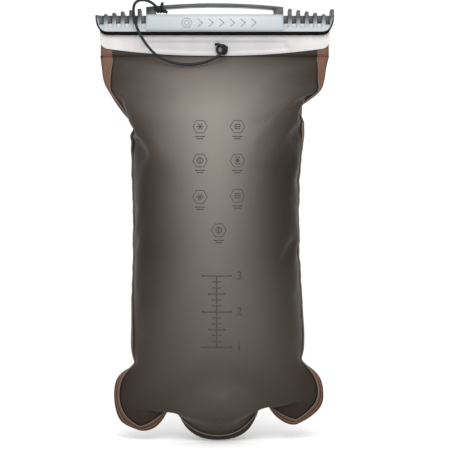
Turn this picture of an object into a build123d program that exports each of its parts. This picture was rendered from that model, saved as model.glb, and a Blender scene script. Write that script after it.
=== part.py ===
"""Slide-top hydration bladder, about 3 litres, filled and hanging from its closure bar.

Millimetres. X runs along the closure bar, Y from front to back, Z up. The origin is where the bladder
hangs: the middle of the underside of the handle arch. The front faces -Y and the drinking port +Y.
"""
import os
from math import pi, radians, tan

from build123d import *

os.makedirs("parts", exist_ok=True)

# ---- driving dimensions: closure bar
BAR_HALF_LENGTH = 106.8
BAR_BOTTOM = -25.7
BAR_WALL = 2.3
LIP_THICKNESS = 1.7  # the inward lips under the rails
ROOF_THICKNESS = 6.5  # the spine over the channel
END_STOP = 2.5  # closes the channel at the right end
HULL_RISE_LENGTH = 18.0  # how far from each tip the bottom edge starts to sweep up
FACE_HALF_LENGTH = 61.5
FACE_HEIGHT = 15.1
FACE_PROUD = 1.0  # how far the smooth face stands out of the bar
FACE_RISE = 0.9  # how far it stands above the spine
ARCH_THICKNESS = 2.7
ARCH_DEPTH = 9.0
ARCH_DROP = 3.4  # how much lower the arch is at its ends
SHOULDER_LENGTH = 8.5  # the arch's foot, beside the hanging slot
RIB_COUNT = 5  # full ribs at each end, inside the tip
RIB_WIDTH = 3.4
RIB_TOP_INNER = -2.6
RIB_TOP_OUTER = -7.4
TIP_TOP = -8.2
THUMB_TAB_TOP = -3.0  # the right tip stands up as a thumb tab
WINDOW_HEIGHT = 5.4
POCKET_DEPTH = 2.0  # how far the spine lies behind the ribs
SLOT_CORNER = 2.2  # rounding of the hanging slot's corners

# ---- driving dimensions: stiff strips and rails of the mouth
STRIP_THICKNESS = 1.2
STRIP_BOTTOM = -44.1
STRIP_CORNER = 10.0
RAIL_THICKNESS = 2.2
RAIL_HEIGHT = 8.4
RAIL_SETBACK = 5.3  # the rails stop this far short of the strips' ends
SLIDE_GAP = 0.3  # between the rails and the channel, all round
SLOT_GAP = 0.5  # between the strips and the lips
END_GAP = 1.0  # between the strips' end and the stop

# ---- driving dimensions: film body
BODY_HALF_WIDTH = 75.0  # from the middle to a side, at the waist
BODY_HALF_DEPTH = 54.0  # from the middle to the front, at the waist
WAIST_TOP = -140.0  # the body has its full section between these two heights
WAIST_BOTTOM = -305.0
FILM = 1.0  # film wall
MOUTH_FILM = 0.5  # each film sheet where the two lie flat in the mouth
MOUTH_EDGE = 1.0  # the strips stand this far past the film
GUSSET_HALF = 16.0  # half the side band's width
BASE_HALF = 42.0  # half the length of the base band

# ---- driving dimensions: lanyard
CORD_DIAMETER = 2.5
STRIP_HOLE_RADIUS = 1.5
STRIP_HOLE_ABOVE_EDGE = 4.6
STRIP_KNOT_X = 7.5
STRIP_KNOT_RADIUS = 4.4
STRIP_KNOT_DEPTH = 6.0
HANDLE_KNOT_X = -48.3
HANDLE_KNOT_RADIUS = 3.0
HANDLE_KNOT_LENGTH = 10.0

# ---- driving dimensions: drinking port, along its axis from the flange's outer face
PORT_ABOVE_WAIST_END = 20.0
FLANGE_RADIUS = 19.0
FLANGE_THICKNESS = 4.6
FLANGE_PROUD = 0.6
STEM_RADIUS = 8.0
COLLAR_RADIUS = 11.0
COLLAR_HEIGHT = 16.0
BORE_RADIUS = 5.5
BORE_CHAMFER = 0.6
LATCH_HEIGHT = 5.5  # underside of the latch's slot
LATCH_THICKNESS = 1.8
LATCH_HALF_WIDTH = 7.2
LATCH_GAP = 0.3
LATCH_CATCH = 1.0  # how far the latch stands into the bore
LATCH_EASE = 0.2  # its hole is this much wider than the bore
BUTTON_HEIGHT = 5.0
BUTTON_DEPTH = 6.0
CAP_WALL = 4.0
CAP_GAP = 0.05
SPRING_ROOM = 4.8  # the latch spring's length at rest
SEAT_RADIUS = 4.2
SEAT_THICKNESS = 2.0
CHAMBER_RADIUS = 6.2
CHAMBER_DEPTH = 12.0
POPPET_RADIUS = 5.4
POPPET_THICKNESS = 2.4
POPPET_STEM_RADIUS = 1.6
POPPET_NOSE = 5.0  # how far the stem reaches out of the head, towards the plug
CAGE_THICKNESS = 1.6
RUNNING_GAP = 0.06
SEAL_WIRE = 0.5  # the O-ring section's radius
SEAL_GAP = 0.02

# ---- worked out from the above
STRIP_HALF_LENGTH = BAR_HALF_LENGTH - END_STOP - END_GAP
STRIP_FACE = MOUTH_FILM + STRIP_THICKNESS
RAIL_FACE = STRIP_FACE + RAIL_THICKNESS
CHANNEL_HALF = RAIL_FACE + SLIDE_GAP
SLOT_HALF = STRIP_FACE + SLOT_GAP
BAR_HALF_DEPTH = CHANNEL_HALF + BAR_WALL
LIP_TOP = BAR_BOTTOM + LIP_THICKNESS
RAIL_BOTTOM = LIP_TOP + SLIDE_GAP
RAIL_TOP = RAIL_BOTTOM + RAIL_HEIGHT
CHANNEL_TOP = RAIL_TOP + SLIDE_GAP
ROOF_TOP = CHANNEL_TOP + ROOF_THICKNESS
FACE_TOP = ROOF_TOP + FACE_RISE
HANG_HALF_LENGTH = FACE_HALF_LENGTH - SHOULDER_LENGTH
STOP_X = STRIP_HALF_LENGTH + END_GAP
BODY_TOP = STRIP_BOTTOM - 1.9
MOUTH_HALF_LENGTH = STRIP_HALF_LENGTH - MOUTH_EDGE
CORD_RADIUS = CORD_DIAMETER / 2
STRIP_KNOT_Z = STRIP_BOTTOM + STRIP_HOLE_ABOVE_EDGE
FAR = 400.0  # further than the object reaches, for cuts

# the free stretch of the lanyard, from the strip's knot to the handle's knot
LANYARD_POINTS = [
    (STRIP_KNOT_X + 0.5, -STRIP_FACE - STRIP_KNOT_DEPTH, STRIP_KNOT_Z - 0.7),
    (STRIP_KNOT_X + 0.5, -STRIP_FACE - STRIP_KNOT_DEPTH - 5.0, STRIP_KNOT_Z - 0.7),
    (5.2, -15.4, -44.4),
    (-1.0, -16.4, -49.0),
    (-10.5, -17.0, -52.6),
    (-23.6, -17.2, -54.2),
    (-37.8, -17.0, -52.4),
    (-50.2, -16.5, -47.1),
    (-59.2, -16.0, -38.2),
    (-66.2, -15.5, -27.5),
    (-70.7, -15.0, -16.8),
    (-72.5, -14.5, -6.1),
    (-71.6, -14.2, 0.6),
    (-67.6, -13.7, 3.9),
    (-61.9, -13.2, 4.2),
    (-56.4, -12.2, 2.3),
    (-52.0, -10.2, -1.4),
    (HANDLE_KNOT_X - 0.3, -ARCH_DEPTH / 2 - 3.1, -3.8),
]


def write(piece, name):
    """Label one finished piece and write it to its own STEP file."""
    piece.part.label = name
    export_step(piece.part, f"parts/{name}.step")


# ---------------------------------------------------------------- film body
def lobe_solid(half_width, half_depth, half_height):
    """One rounded bulge of the filled bladder's foot, about its own middle."""
    with BuildPart() as lobe:
        Sphere(1)
        scale(by=(half_width, half_depth, half_height))
    return lobe


def film_solid(inset):
    """The filled bladder as one solid, with every wall moved in by inset."""
    wide, deep = BODY_HALF_WIDTH, BODY_HALF_DEPTH
    # height, half width and half depth, from the flat mouth down
    sections = [
        (BODY_TOP - 2 * inset, MOUTH_HALF_LENGTH, 2.5),
        (BODY_TOP - 26, MOUTH_HALF_LENGTH - 5, deep * 0.33),
        (BODY_TOP - 52, wide + 5, deep * 0.66),
        (WAIST_TOP, wide, deep * 0.9),
        ((WAIST_TOP + WAIST_BOTTOM) / 2, wide, deep),
        (WAIST_BOTTOM, wide + 2, deep * 0.97),
        (WAIST_BOTTOM - 40 + inset, wide - 14, deep * 0.68),
    ]
    # each lobe: its middle along X, how far its middle is below the waist, and its half sizes
    lobes = [
        (15 - wide, 42.0, (31.5, deep / 2, 34.0)),
        (wide - 8, 40.0, (32.0, deep / 2, 32.0)),
        (3.0, 33.0, (46.0, deep - 8, 52.6)),
    ]
    solids = [
        (middle, below, lobe_solid(*(half - inset for half in halves)))
        for middle, below, halves in lobes
    ]
    with BuildPart() as body:
        for height, half_width, half_depth in sections:
            with BuildSketch(Plane.XY.offset(height)):
                Ellipse(half_width - inset, half_depth - inset)
        loft()
        for middle, below, lobe in solids:
            with Locations((middle, 0, WAIST_BOTTOM - below)):
                add(lobe.part)
    return body


film_outside = film_solid(0)
film_inside = film_solid(FILM)

with BuildPart() as film_shell:
    add(film_outside.part)
    add(film_inside.part, mode=Mode.SUBTRACT)

# the band between the two panels, which widens from nothing below the mouth
with BuildPart() as side_band:
    with BuildSketch(Plane.YZ):
        with BuildLine():
            Polyline(
                (0, BODY_TOP - 18),
                (GUSSET_HALF, BODY_TOP - 64),
                (GUSSET_HALF, -FAR - FAR / 2),
                (-GUSSET_HALF, -FAR - FAR / 2),
                (-GUSSET_HALF, BODY_TOP - 64),
                close=True,
            )
        make_face()
    extrude(amount=FAR, both=True)

PORT_Z = WAIST_BOTTOM + PORT_ABOVE_WAIST_END
PORT_FACE = BODY_HALF_DEPTH + FLANGE_PROUD


def port_plane(height):
    """The plane across the port's axis at this height out of the flange's outer face."""
    return Plane(origin=(0, PORT_FACE + height, PORT_Z), x_dir=(1, 0, 0), z_dir=(0, 1, 0))


def film_panel(side):
    """The front (side -1) or back (side +1) film, with its flat sheet up between the strips."""
    with BuildPart() as panel:
        add(film_shell.part)
        split(bisect_by=Plane.XZ, keep=Keep.TOP if side < 0 else Keep.BOTTOM)
        add(side_band.part, mode=Mode.SUBTRACT)
        with Locations((0, side * MOUTH_FILM / 2, (RAIL_TOP + BODY_TOP) / 2)):
            Box(2 * MOUTH_HALF_LENGTH, MOUTH_FILM, RAIL_TOP - BODY_TOP)
        if side > 0:
            with BuildSketch(port_plane(-FLANGE_RADIUS)):
                Circle(FLANGE_RADIUS)
            extrude(amount=2 * FLANGE_RADIUS, mode=Mode.SUBTRACT)
    return panel


def gusset(low_x, high_x):
    """The part of the band between the panels that lies between two places along X."""
    with BuildPart() as piece:
        add(film_shell.part)
        add(side_band.part, mode=Mode.INTERSECT)
        with Locations(((low_x + high_x) / 2, 0, -FAR)):
            Box(high_x - low_x, FAR, 2 * FAR, mode=Mode.INTERSECT)
    return piece


write(film_panel(-1), "front_panel")
write(film_panel(1), "back_panel")
write(gusset(-FAR, -BASE_HALF), "left_gusset")
write(gusset(BASE_HALF, FAR), "right_gusset")
write(gusset(-BASE_HALF, BASE_HALF), "base_gusset")


# ---------------------------------------------------------------- stiff strips and rails
def mouth_strip(side):
    """One stiff strip: a long plate with rounded lower corners, from the rails to below the bar."""
    with BuildPart() as strip:
        with Locations((0, side * (MOUTH_FILM + STRIP_FACE) / 2, (RAIL_TOP + STRIP_BOTTOM) / 2)):
            Box(2 * STRIP_HALF_LENGTH, STRIP_THICKNESS, RAIL_TOP - STRIP_BOTTOM)
        fillet(strip.edges().filter_by(Axis.Y).group_by(Axis.Z)[0], STRIP_CORNER)
        if side < 0:
            with BuildSketch(Plane.XZ):
                with Locations((STRIP_KNOT_X, STRIP_KNOT_Z)):
                    Circle(STRIP_HOLE_RADIUS)
            extrude(amount=2 * STRIP_FACE, mode=Mode.SUBTRACT)
    return strip


def mouth_rail(side):
    """One rail: a bead along the top of its strip, which the bar's channel holds."""
    with BuildPart() as rail:
        with Locations((0, side * (STRIP_FACE + RAIL_FACE) / 2, (RAIL_TOP + RAIL_BOTTOM) / 2)):
            Box(2 * (STRIP_HALF_LENGTH - RAIL_SETBACK), RAIL_THICKNESS, RAIL_HEIGHT)
        long_edges = rail.edges().filter_by(Axis.X).group_by(Axis.Y)
        fillet(long_edges[-1 if side > 0 else 0], RAIL_THICKNESS / 3)
    return rail


write(mouth_strip(-1), "front_strip")
write(mouth_strip(1), "back_strip")
write(mouth_rail(-1), "front_rail")
write(mouth_rail(1), "back_rail")


# ---------------------------------------------------------------- closure bar
tip_rib_x = BAR_HALF_LENGTH - RIB_WIDTH / 2
face_edge_x = FACE_HALF_LENGTH - RIB_WIDTH / 2
rib_pitch = (tip_rib_x - face_edge_x) / (RIB_COUNT + 1)
window_width = rib_pitch - RIB_WIDTH

# the bar seen from the front: a long hull whose two ends sweep up from the bottom edge
with BuildPart() as hull_outline:
    with BuildSketch(Plane.XZ):
        with BuildLine():
            rise = Spline(
                (BAR_HALF_LENGTH - HULL_RISE_LENGTH, BAR_BOTTOM),
                (BAR_HALF_LENGTH - HULL_RISE_LENGTH / 5, (BAR_BOTTOM * 3 + ROOF_TOP) / 4),
                (BAR_HALF_LENGTH, ROOF_TOP),
            )
            Polyline(rise @ 1, (0, ROOF_TOP), (0, BAR_BOTTOM), rise @ 0)
        make_face()
        mirror(about=Plane.YZ)
    extrude(amount=FAR, both=True)

with BuildPart() as slide_closure:
    # the hull: a rounded section run along X and trimmed to its outline
    with BuildSketch(Plane.YZ):
        with Locations((0, (ROOF_TOP + BAR_BOTTOM) / 2)):
            RectangleRounded(2 * BAR_HALF_DEPTH, ROOF_TOP - BAR_BOTTOM, BAR_WALL * 0.7)
    extrude(amount=BAR_HALF_LENGTH, both=True)
    add(hull_outline.part, mode=Mode.INTERSECT)

    # the smooth face in the middle stands a little proud, in front and behind
    with BuildSketch(Plane.YZ):
        with Locations((0, FACE_TOP - FACE_HEIGHT / 2)):
            RectangleRounded(2 * (BAR_HALF_DEPTH + FACE_PROUD), FACE_HEIGHT, FACE_PROUD * 1.5)
    extrude(amount=FACE_HALF_LENGTH, both=True)

    # the handle arch over the hanging slot, on two shoulders
    with BuildSketch(Plane.XZ):
        with BuildLine():
            crown = ThreePointArc(
                (-FACE_HALF_LENGTH, ARCH_THICKNESS - ARCH_DROP),
                (0, ARCH_THICKNESS),
                (FACE_HALF_LENGTH, ARCH_THICKNESS - ARCH_DROP),
            )
            Polyline(crown @ 1, (FACE_HALF_LENGTH, ROOF_TOP), (-FACE_HALF_LENGTH, ROOF_TOP), crown @ 0)
        make_face()
    extrude(amount=ARCH_DEPTH / 2, both=True)
    with BuildSketch(Plane.XZ) as hanging_slot:
        with BuildLine():
            under = ThreePointArc(
                (-HANG_HALF_LENGTH, -ARCH_DROP * 0.75),
                (0, 0),
                (HANG_HALF_LENGTH, -ARCH_DROP * 0.75),
            )
            Polyline(under @ 1, (HANG_HALF_LENGTH, FACE_TOP), (-HANG_HALF_LENGTH, FACE_TOP), under @ 0)
        make_face()
        fillet(hanging_slot.vertices(), SLOT_CORNER)
    extrude(amount=FAR, both=True, mode=Mode.SUBTRACT)

    # ribs: fins through the bar's whole depth, lower towards each end, and the two tips
    for side in (-1, 1):
        for number in range(1, RIB_COUNT + 2):
            share = (number - 1) / (RIB_COUNT - 1)
            top = RIB_TOP_INNER + share * (RIB_TOP_OUTER - RIB_TOP_INNER)
            if number > RIB_COUNT:
                top = TIP_TOP if side < 0 else THUMB_TAB_TOP
            foot = ROOF_TOP - 2.0
            with BuildSketch(Plane.XZ):
                with Locations((side * (face_edge_x + number * rib_pitch), (top + foot) / 2)):
                    RectangleRounded(RIB_WIDTH, top - foot, RIB_WIDTH * 0.3)
            extrude(amount=BAR_HALF_DEPTH, both=True)

    # the channel for the rails and the slot for the strips, open at the left end
    channel_length = BAR_HALF_LENGTH + STOP_X
    with Locations((STOP_X - channel_length / 2, 0, (LIP_TOP + CHANNEL_TOP) / 2)):
        Box(channel_length, 2 * CHANNEL_HALF, CHANNEL_TOP - LIP_TOP, mode=Mode.SUBTRACT)
    with Locations((STOP_X - channel_length / 2, 0, LIP_TOP)):
        Box(channel_length, 2 * SLOT_HALF, 4 * LIP_THICKNESS, mode=Mode.SUBTRACT)

    # in each gap between ribs: a round-footed window under the spine, and a pocket beside it
    for side in (-1, 1):
        for number in range(RIB_COUNT + 1):
            height = WINDOW_HEIGHT if number < RIB_COUNT else WINDOW_HEIGHT / 2
            middle = side * (face_edge_x + (number + 0.5) * rib_pitch)
            with BuildSketch(Plane.XZ) as window:
                with Locations((middle, CHANNEL_TOP - height / 2)):
                    Rectangle(window_width, height)
                fillet(window.vertices().group_by(Axis.Y)[0], min(window_width, height) * 0.42)
            extrude(amount=FAR, both=True, mode=Mode.SUBTRACT)
            for front in (-1, 1):
                with Locations((middle, front * BAR_HALF_DEPTH, (CHANNEL_TOP + ROOF_TOP) / 2)):
                    Box(window_width, 2 * POCKET_DEPTH, ROOF_THICKNESS, mode=Mode.SUBTRACT)
write(slide_closure, "slide_closure")

# ---------------------------------------------------------------- lanyard
corner_radii = []
for before, corner, after in zip(LANYARD_POINTS, LANYARD_POINTS[1:], LANYARD_POINTS[2:]):
    run_in = Vector(corner) - Vector(before)
    run_out = Vector(after) - Vector(corner)
    half_turn = radians(run_in.get_angle(run_out)) / 2
    corner_radii.append(0.45 * min(run_in.length, run_out.length) / tan(half_turn))

with BuildPart() as lanyard:
    with BuildLine() as lanyard_path:
        FilletPolyline(LANYARD_POINTS, radius=corner_radii)
    with BuildSketch(Plane(lanyard_path.line @ 0, z_dir=lanyard_path.line % 0)):
        Circle(CORD_RADIUS)
    sweep()
write(lanyard, "lanyard")
print("lanyard radii", [round(radius, 1) for radius in corner_radii])
lanyard_length = sum(edge.length for edge in lanyard_path.line.edges())
print("lanyard length", round(lanyard_length, 1), "volume", round(lanyard.part.volume, 1))
print("section times length", round(pi * CORD_RADIUS**2 * lanyard_length, 1))

# a barrel across the arch with a loop round it; the cord's end is buried in the barrel
with BuildPart() as handle_knot:
    with BuildSketch(Plane.YZ.offset(HANDLE_KNOT_X - HANDLE_KNOT_LENGTH / 2)):
        with Locations((-(ARCH_DEPTH / 2 + HANDLE_KNOT_RADIUS * 0.8), LANYARD_POINTS[-1][2])):
            Circle(HANDLE_KNOT_RADIUS)
    extrude(amount=HANDLE_KNOT_LENGTH)
    fillet(handle_knot.edges().filter_by(GeomType.CIRCLE), HANDLE_KNOT_RADIUS * 0.4)
    arch_middle = (ARCH_THICKNESS - ARCH_DROP) / 2
    with Locations((HANDLE_KNOT_X, 0, arch_middle)):
        Box(CORD_DIAMETER, ARCH_DEPTH + 2 * CORD_DIAMETER, ARCH_THICKNESS + 2 * CORD_DIAMETER)
    add(slide_closure.part, mode=Mode.SUBTRACT)
    add(lanyard.part, mode=Mode.SUBTRACT)
write(handle_knot, "handle_knot")

# a stud through the strip's hole and a round knot in front of it
with BuildPart() as strip_knot:
    with BuildSketch(Plane.XZ.offset(MOUTH_FILM)):
        with Locations((STRIP_KNOT_X, STRIP_KNOT_Z)):
            Circle(STRIP_HOLE_RADIUS)
    extrude(amount=STRIP_THICKNESS)
    with BuildSketch(Plane.XZ.offset(STRIP_FACE)):
        with Locations((STRIP_KNOT_X, STRIP_KNOT_Z)):
            Circle(STRIP_KNOT_RADIUS)
    extrude(amount=STRIP_KNOT_DEPTH)
    fillet(strip_knot.edges().filter_by(GeomType.CIRCLE).group_by(Axis.Y)[0], STRIP_KNOT_RADIUS / 4)
write(strip_knot, "strip_knot")


# ---------------------------------------------------------------- drinking port
def ring(low, high, outer, inner):
    """A round ring about the port's axis between two heights."""
    with BuildPart() as piece:
        with BuildSketch(port_plane(low)):
            Circle(outer)
            Circle(inner, mode=Mode.SUBTRACT)
        extrude(amount=high - low)
    return piece


latch_low = LATCH_HEIGHT + LATCH_GAP
latch_slot = LATCH_THICKNESS + 2 * LATCH_GAP
latch_hole = BORE_RADIUS + LATCH_EASE
latch_travel = LATCH_CATCH + LATCH_EASE
latch_foot = BORE_RADIUS + 3.0  # lower end of the latch plate, below the port's axis
cap_radius = COLLAR_RADIUS + CAP_GAP + CAP_WALL
button_foot = COLLAR_RADIUS + latch_travel + 2 * LATCH_GAP
seat_back = -SEAT_THICKNESS
chamber_end = seat_back - CHAMBER_DEPTH

write(ring(-FLANGE_THICKNESS, 0, FLANGE_RADIUS, STEM_RADIUS), "port_flange")

# the socket: stem with the valve chamber and seat, collar with the plug's bore, slot for the latch
with BuildPart() as port_socket:
    add(ring(chamber_end, seat_back, STEM_RADIUS, CHAMBER_RADIUS).part)
    add(ring(seat_back, 0, STEM_RADIUS, SEAT_RADIUS).part)
    add(ring(0, COLLAR_HEIGHT, COLLAR_RADIUS, BORE_RADIUS).part)
    mouth = port_socket.edges().filter_by(GeomType.CIRCLE).group_by(Axis.Y)[-1]
    chamfer(mouth.sort_by(SortBy.RADIUS)[0], BORE_CHAMFER)
    with BuildSketch(port_plane(LATCH_HEIGHT)):
        Rectangle(2 * (LATCH_HALF_WIDTH + LATCH_GAP), 2 * COLLAR_RADIUS + 1)
    extrude(amount=latch_slot, mode=Mode.SUBTRACT)
write(port_socket, "port_socket")

# the cap hides the latch: a ring with a window for the button and a pocket for the spring
with BuildPart() as port_cap:
    add(ring(0, COLLAR_HEIGHT, cap_radius, COLLAR_RADIUS + CAP_GAP).part)
    fillet(port_cap.edges().filter_by(GeomType.CIRCLE).group_by(Axis.Y)[-1].sort_by(SortBy.RADIUS)[-1], 1.5)
    with BuildSketch(port_plane(latch_low + LATCH_THICKNESS / 2 - BUTTON_DEPTH / 2 - LATCH_GAP)):
        with Locations((0, -COLLAR_RADIUS - CAP_WALL / 2)):
            Rectangle(2 * (LATCH_HALF_WIDTH + 2 * LATCH_GAP), 2 * COLLAR_RADIUS)
    extrude(amount=BUTTON_DEPTH + 2 * LATCH_GAP, mode=Mode.SUBTRACT)
    with BuildSketch(port_plane(LATCH_HEIGHT)):
        with Locations((0, (latch_foot + SPRING_ROOM) / 2)):
            Rectangle(latch_slot + 1, latch_foot + SPRING_ROOM)
    extrude(amount=latch_slot, mode=Mode.SUBTRACT)
write(port_cap, "port_cap")

# the latch: a plate with a hole, caught under the bore's wall until its button is pressed down
with BuildPart() as latch_button:
    plate_length = button_foot + latch_foot + 1
    with BuildSketch(port_plane(latch_low)) as plate:
        with Locations((0, latch_foot - plate_length / 2)):
            Rectangle(2 * LATCH_HALF_WIDTH, plate_length)
        fillet(plate.vertices().group_by(Axis.Y)[-1], LATCH_HALF_WIDTH * 0.7)
        with Locations((0, -latch_travel)):
            Circle(latch_hole, mode=Mode.SUBTRACT)
    extrude(amount=LATCH_THICKNESS)
    with BuildSketch(port_plane(latch_low + LATCH_THICKNESS / 2 - BUTTON_DEPTH / 2)):
        with Locations((0, -button_foot - BUTTON_HEIGHT / 2)):
            RectangleRounded(2 * LATCH_HALF_WIDTH, BUTTON_HEIGHT, 1.2)
    extrude(amount=BUTTON_DEPTH)
write(latch_button, "latch_button")


def coil(start, direction, length, coil_radius, wire_radius, turns):
    """A compression spring from start along direction, its ends just inside its length."""
    run = length - 2 * wire_radius
    first = Vector(start) + Vector(direction) * wire_radius
    with BuildPart() as spring:
        with BuildLine() as wire:
            Helix(run / turns, run, coil_radius, center=first, direction=direction)
        with BuildSketch(Plane(wire.line @ 0, z_dir=wire.line % 0)):
            Circle(wire_radius)
        sweep(is_frenet=True)
    return spring


latch_middle = PORT_FACE + latch_low + LATCH_THICKNESS / 2
latch_spring = coil((0, latch_middle, PORT_Z - latch_foot), (0, 0, -1), SPRING_ROOM, 0.8, 0.22, 4)
write(latch_spring, "latch_spring")

# the shut-off valve: a plug's nose pushes the poppet off its seat against the spring
head_front = seat_back - SEAL_WIRE - SEAL_GAP
head_back = head_front - POPPET_THICKNESS
cage_front = chamber_end + CAGE_THICKNESS
seal_ring_radius = SEAT_RADIUS + SEAL_WIRE

with BuildPart() as poppet_o_ring:
    with Locations(port_plane(head_front)):
        Torus(seal_ring_radius, SEAL_WIRE)
write(poppet_o_ring, "poppet_o_ring")

with BuildPart() as valve_poppet:
    with BuildSketch(port_plane(head_back)):
        Circle(POPPET_RADIUS)
    extrude(amount=POPPET_THICKNESS)
    with BuildSketch(port_plane(chamber_end + CAGE_THICKNESS / 2)):
        Circle(POPPET_STEM_RADIUS)
    extrude(amount=head_front + POPPET_NOSE - chamber_end - CAGE_THICKNESS / 2)
    add(poppet_o_ring.part, mode=Mode.SUBTRACT)
write(valve_poppet, "valve_poppet")

spring_start = (0, PORT_FACE + head_back, PORT_Z)
poppet_spring = coil(spring_start, (0, -1, 0), head_back - cage_front, 3.0, 0.4, 4)
write(poppet_spring, "poppet_spring")

# the cage closes the chamber, guides the stem and lets the water through
with BuildPart() as spring_cage:
    with BuildSketch(port_plane(chamber_end)):
        Circle(CHAMBER_RADIUS)
        Circle(POPPET_STEM_RADIUS + RUNNING_GAP, mode=Mode.SUBTRACT)
        with PolarLocations(CHAMBER_RADIUS * 0.66, 6):
            Circle(1.2, mode=Mode.SUBTRACT)
    extrude(amount=CAGE_THICKNESS)
write(spring_cage, "spring_cage")
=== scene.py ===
# %% [markdown]
# # A slide-top hydration bladder
#
# A three litre water bladder of the kind that rides in a backpack, blown up and hanging by its
# closure bar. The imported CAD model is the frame: it says where every part is and how it moves.
# This lesson makes what the eye sees around that frame, one piece at a time.

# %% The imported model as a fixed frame
import math

import bmesh
import bpy
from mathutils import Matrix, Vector
from mathutils.bvhtree import BVHTree
from mathutils.kdtree import KDTree


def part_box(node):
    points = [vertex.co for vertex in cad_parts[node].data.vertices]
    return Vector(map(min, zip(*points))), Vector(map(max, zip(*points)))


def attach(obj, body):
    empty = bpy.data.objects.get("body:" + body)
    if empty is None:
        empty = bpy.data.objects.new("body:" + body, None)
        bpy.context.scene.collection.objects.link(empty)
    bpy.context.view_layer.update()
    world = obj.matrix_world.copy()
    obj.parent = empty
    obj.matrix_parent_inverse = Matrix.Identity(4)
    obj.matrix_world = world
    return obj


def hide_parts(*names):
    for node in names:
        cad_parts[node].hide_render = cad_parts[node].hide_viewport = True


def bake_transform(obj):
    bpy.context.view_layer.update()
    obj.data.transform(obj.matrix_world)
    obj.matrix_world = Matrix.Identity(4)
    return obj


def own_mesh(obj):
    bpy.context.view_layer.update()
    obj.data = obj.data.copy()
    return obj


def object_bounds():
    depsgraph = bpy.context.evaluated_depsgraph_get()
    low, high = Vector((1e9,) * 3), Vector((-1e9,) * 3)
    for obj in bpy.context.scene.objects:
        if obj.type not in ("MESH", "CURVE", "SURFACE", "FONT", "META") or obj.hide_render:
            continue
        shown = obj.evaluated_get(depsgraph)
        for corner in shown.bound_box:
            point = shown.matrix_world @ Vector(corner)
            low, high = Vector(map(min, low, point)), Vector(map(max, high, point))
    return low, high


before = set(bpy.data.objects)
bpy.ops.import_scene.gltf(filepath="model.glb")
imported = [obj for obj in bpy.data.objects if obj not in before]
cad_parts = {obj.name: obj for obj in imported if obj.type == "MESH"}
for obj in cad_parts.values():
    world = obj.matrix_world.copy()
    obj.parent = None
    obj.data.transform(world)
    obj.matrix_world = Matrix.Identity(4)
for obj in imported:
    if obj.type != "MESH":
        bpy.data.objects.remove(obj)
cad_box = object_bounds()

MM = 0.001
print("nodes", len(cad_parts))

# %% [markdown]
# ## Camera
#
# The bladder is seen square from the front, from about a metre away, the way a shop shows it. A long
# lens keeps the two ends of the bar the same size. The focal length follows from the width that has
# to fit in the picture and from the distance.

# %% Camera
VIEW_WIDTH = 405 * MM
CAMERA_DISTANCE = 1.2
VIEW_MIDDLE = Vector((9.2, 0, -196.2)) * MM

camera_data = bpy.data.cameras.new("camera")
camera_data.sensor_width = 36
camera_data.lens = 36 * CAMERA_DISTANCE / VIEW_WIDTH
camera_data.dof.use_dof = False
camera = bpy.data.objects.new("camera", camera_data)
camera.location = VIEW_MIDDLE - Vector((0, CAMERA_DISTANCE, 0))
camera.rotation_euler = (math.radians(90), 0, 0)
bpy.context.scene.collection.objects.link(camera)
bpy.context.scene.camera = camera
bpy.context.scene.view_settings.view_transform = "Standard"
print("lens", round(camera_data.lens, 1), "mm")

# %% [markdown]
# ## Helpers for materials
#
# Colours are picked as sRGB hex values, as in any paint program, but Blender computes in linear
# light, so one function converts them. A second one adds a shader node with its settings and its
# links in one line, which keeps each material short enough to read.


# %% Helpers for materials
def linear(hex_value):
    """An sRGB hex colour such as "4a3d33" as Blender's linear RGBA."""
    shares = [int(hex_value[i : i + 2], 16) / 255 for i in (0, 2, 4)]
    return (*(s / 12.92 if s <= 0.04045 else ((s + 0.055) / 1.055) ** 2.4 for s in shares), 1.0)


SMOOTH_STEP = {"interpolation_type": "SMOOTHSTEP"}
MIX_COLOURS = {"data_type": "RGBA"}


def add_node(tree, kind, settings=None, stops=(), **inputs):
    """Add one node. Settings are its own properties, stops are a colour ramp's (position, hex colour
    or number), and inputs are values, hex colours or links for its sockets."""
    made = tree.nodes.new(kind)
    for name, value in (settings or {}).items():
        setattr(made, name, value)
    for _ in stops[2:]:
        made.color_ramp.elements.new(0.5)
    if stops:
        for element, (position, value) in zip(made.color_ramp.elements, stops):
            element.position = position
            element.color = linear(value) if isinstance(value, str) else (value,) * 3 + (1,)
    for name, value in inputs.items():
        key = int(name[1:]) if name[0] == "i" and name[1:].isdigit() else name.replace("_", " ")
        socket = made.inputs[key]
        if isinstance(value, bpy.types.NodeSocket):
            tree.links.new(value, socket)
        else:
            socket.default_value = linear(value) if isinstance(value, str) else value
    return made


def new_material(name):
    """A material, its node tree and its Principled shader."""
    material = bpy.data.materials.new(name)
    material.use_nodes = True
    return material, material.node_tree, material.node_tree.nodes["Principled BSDF"]
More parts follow.
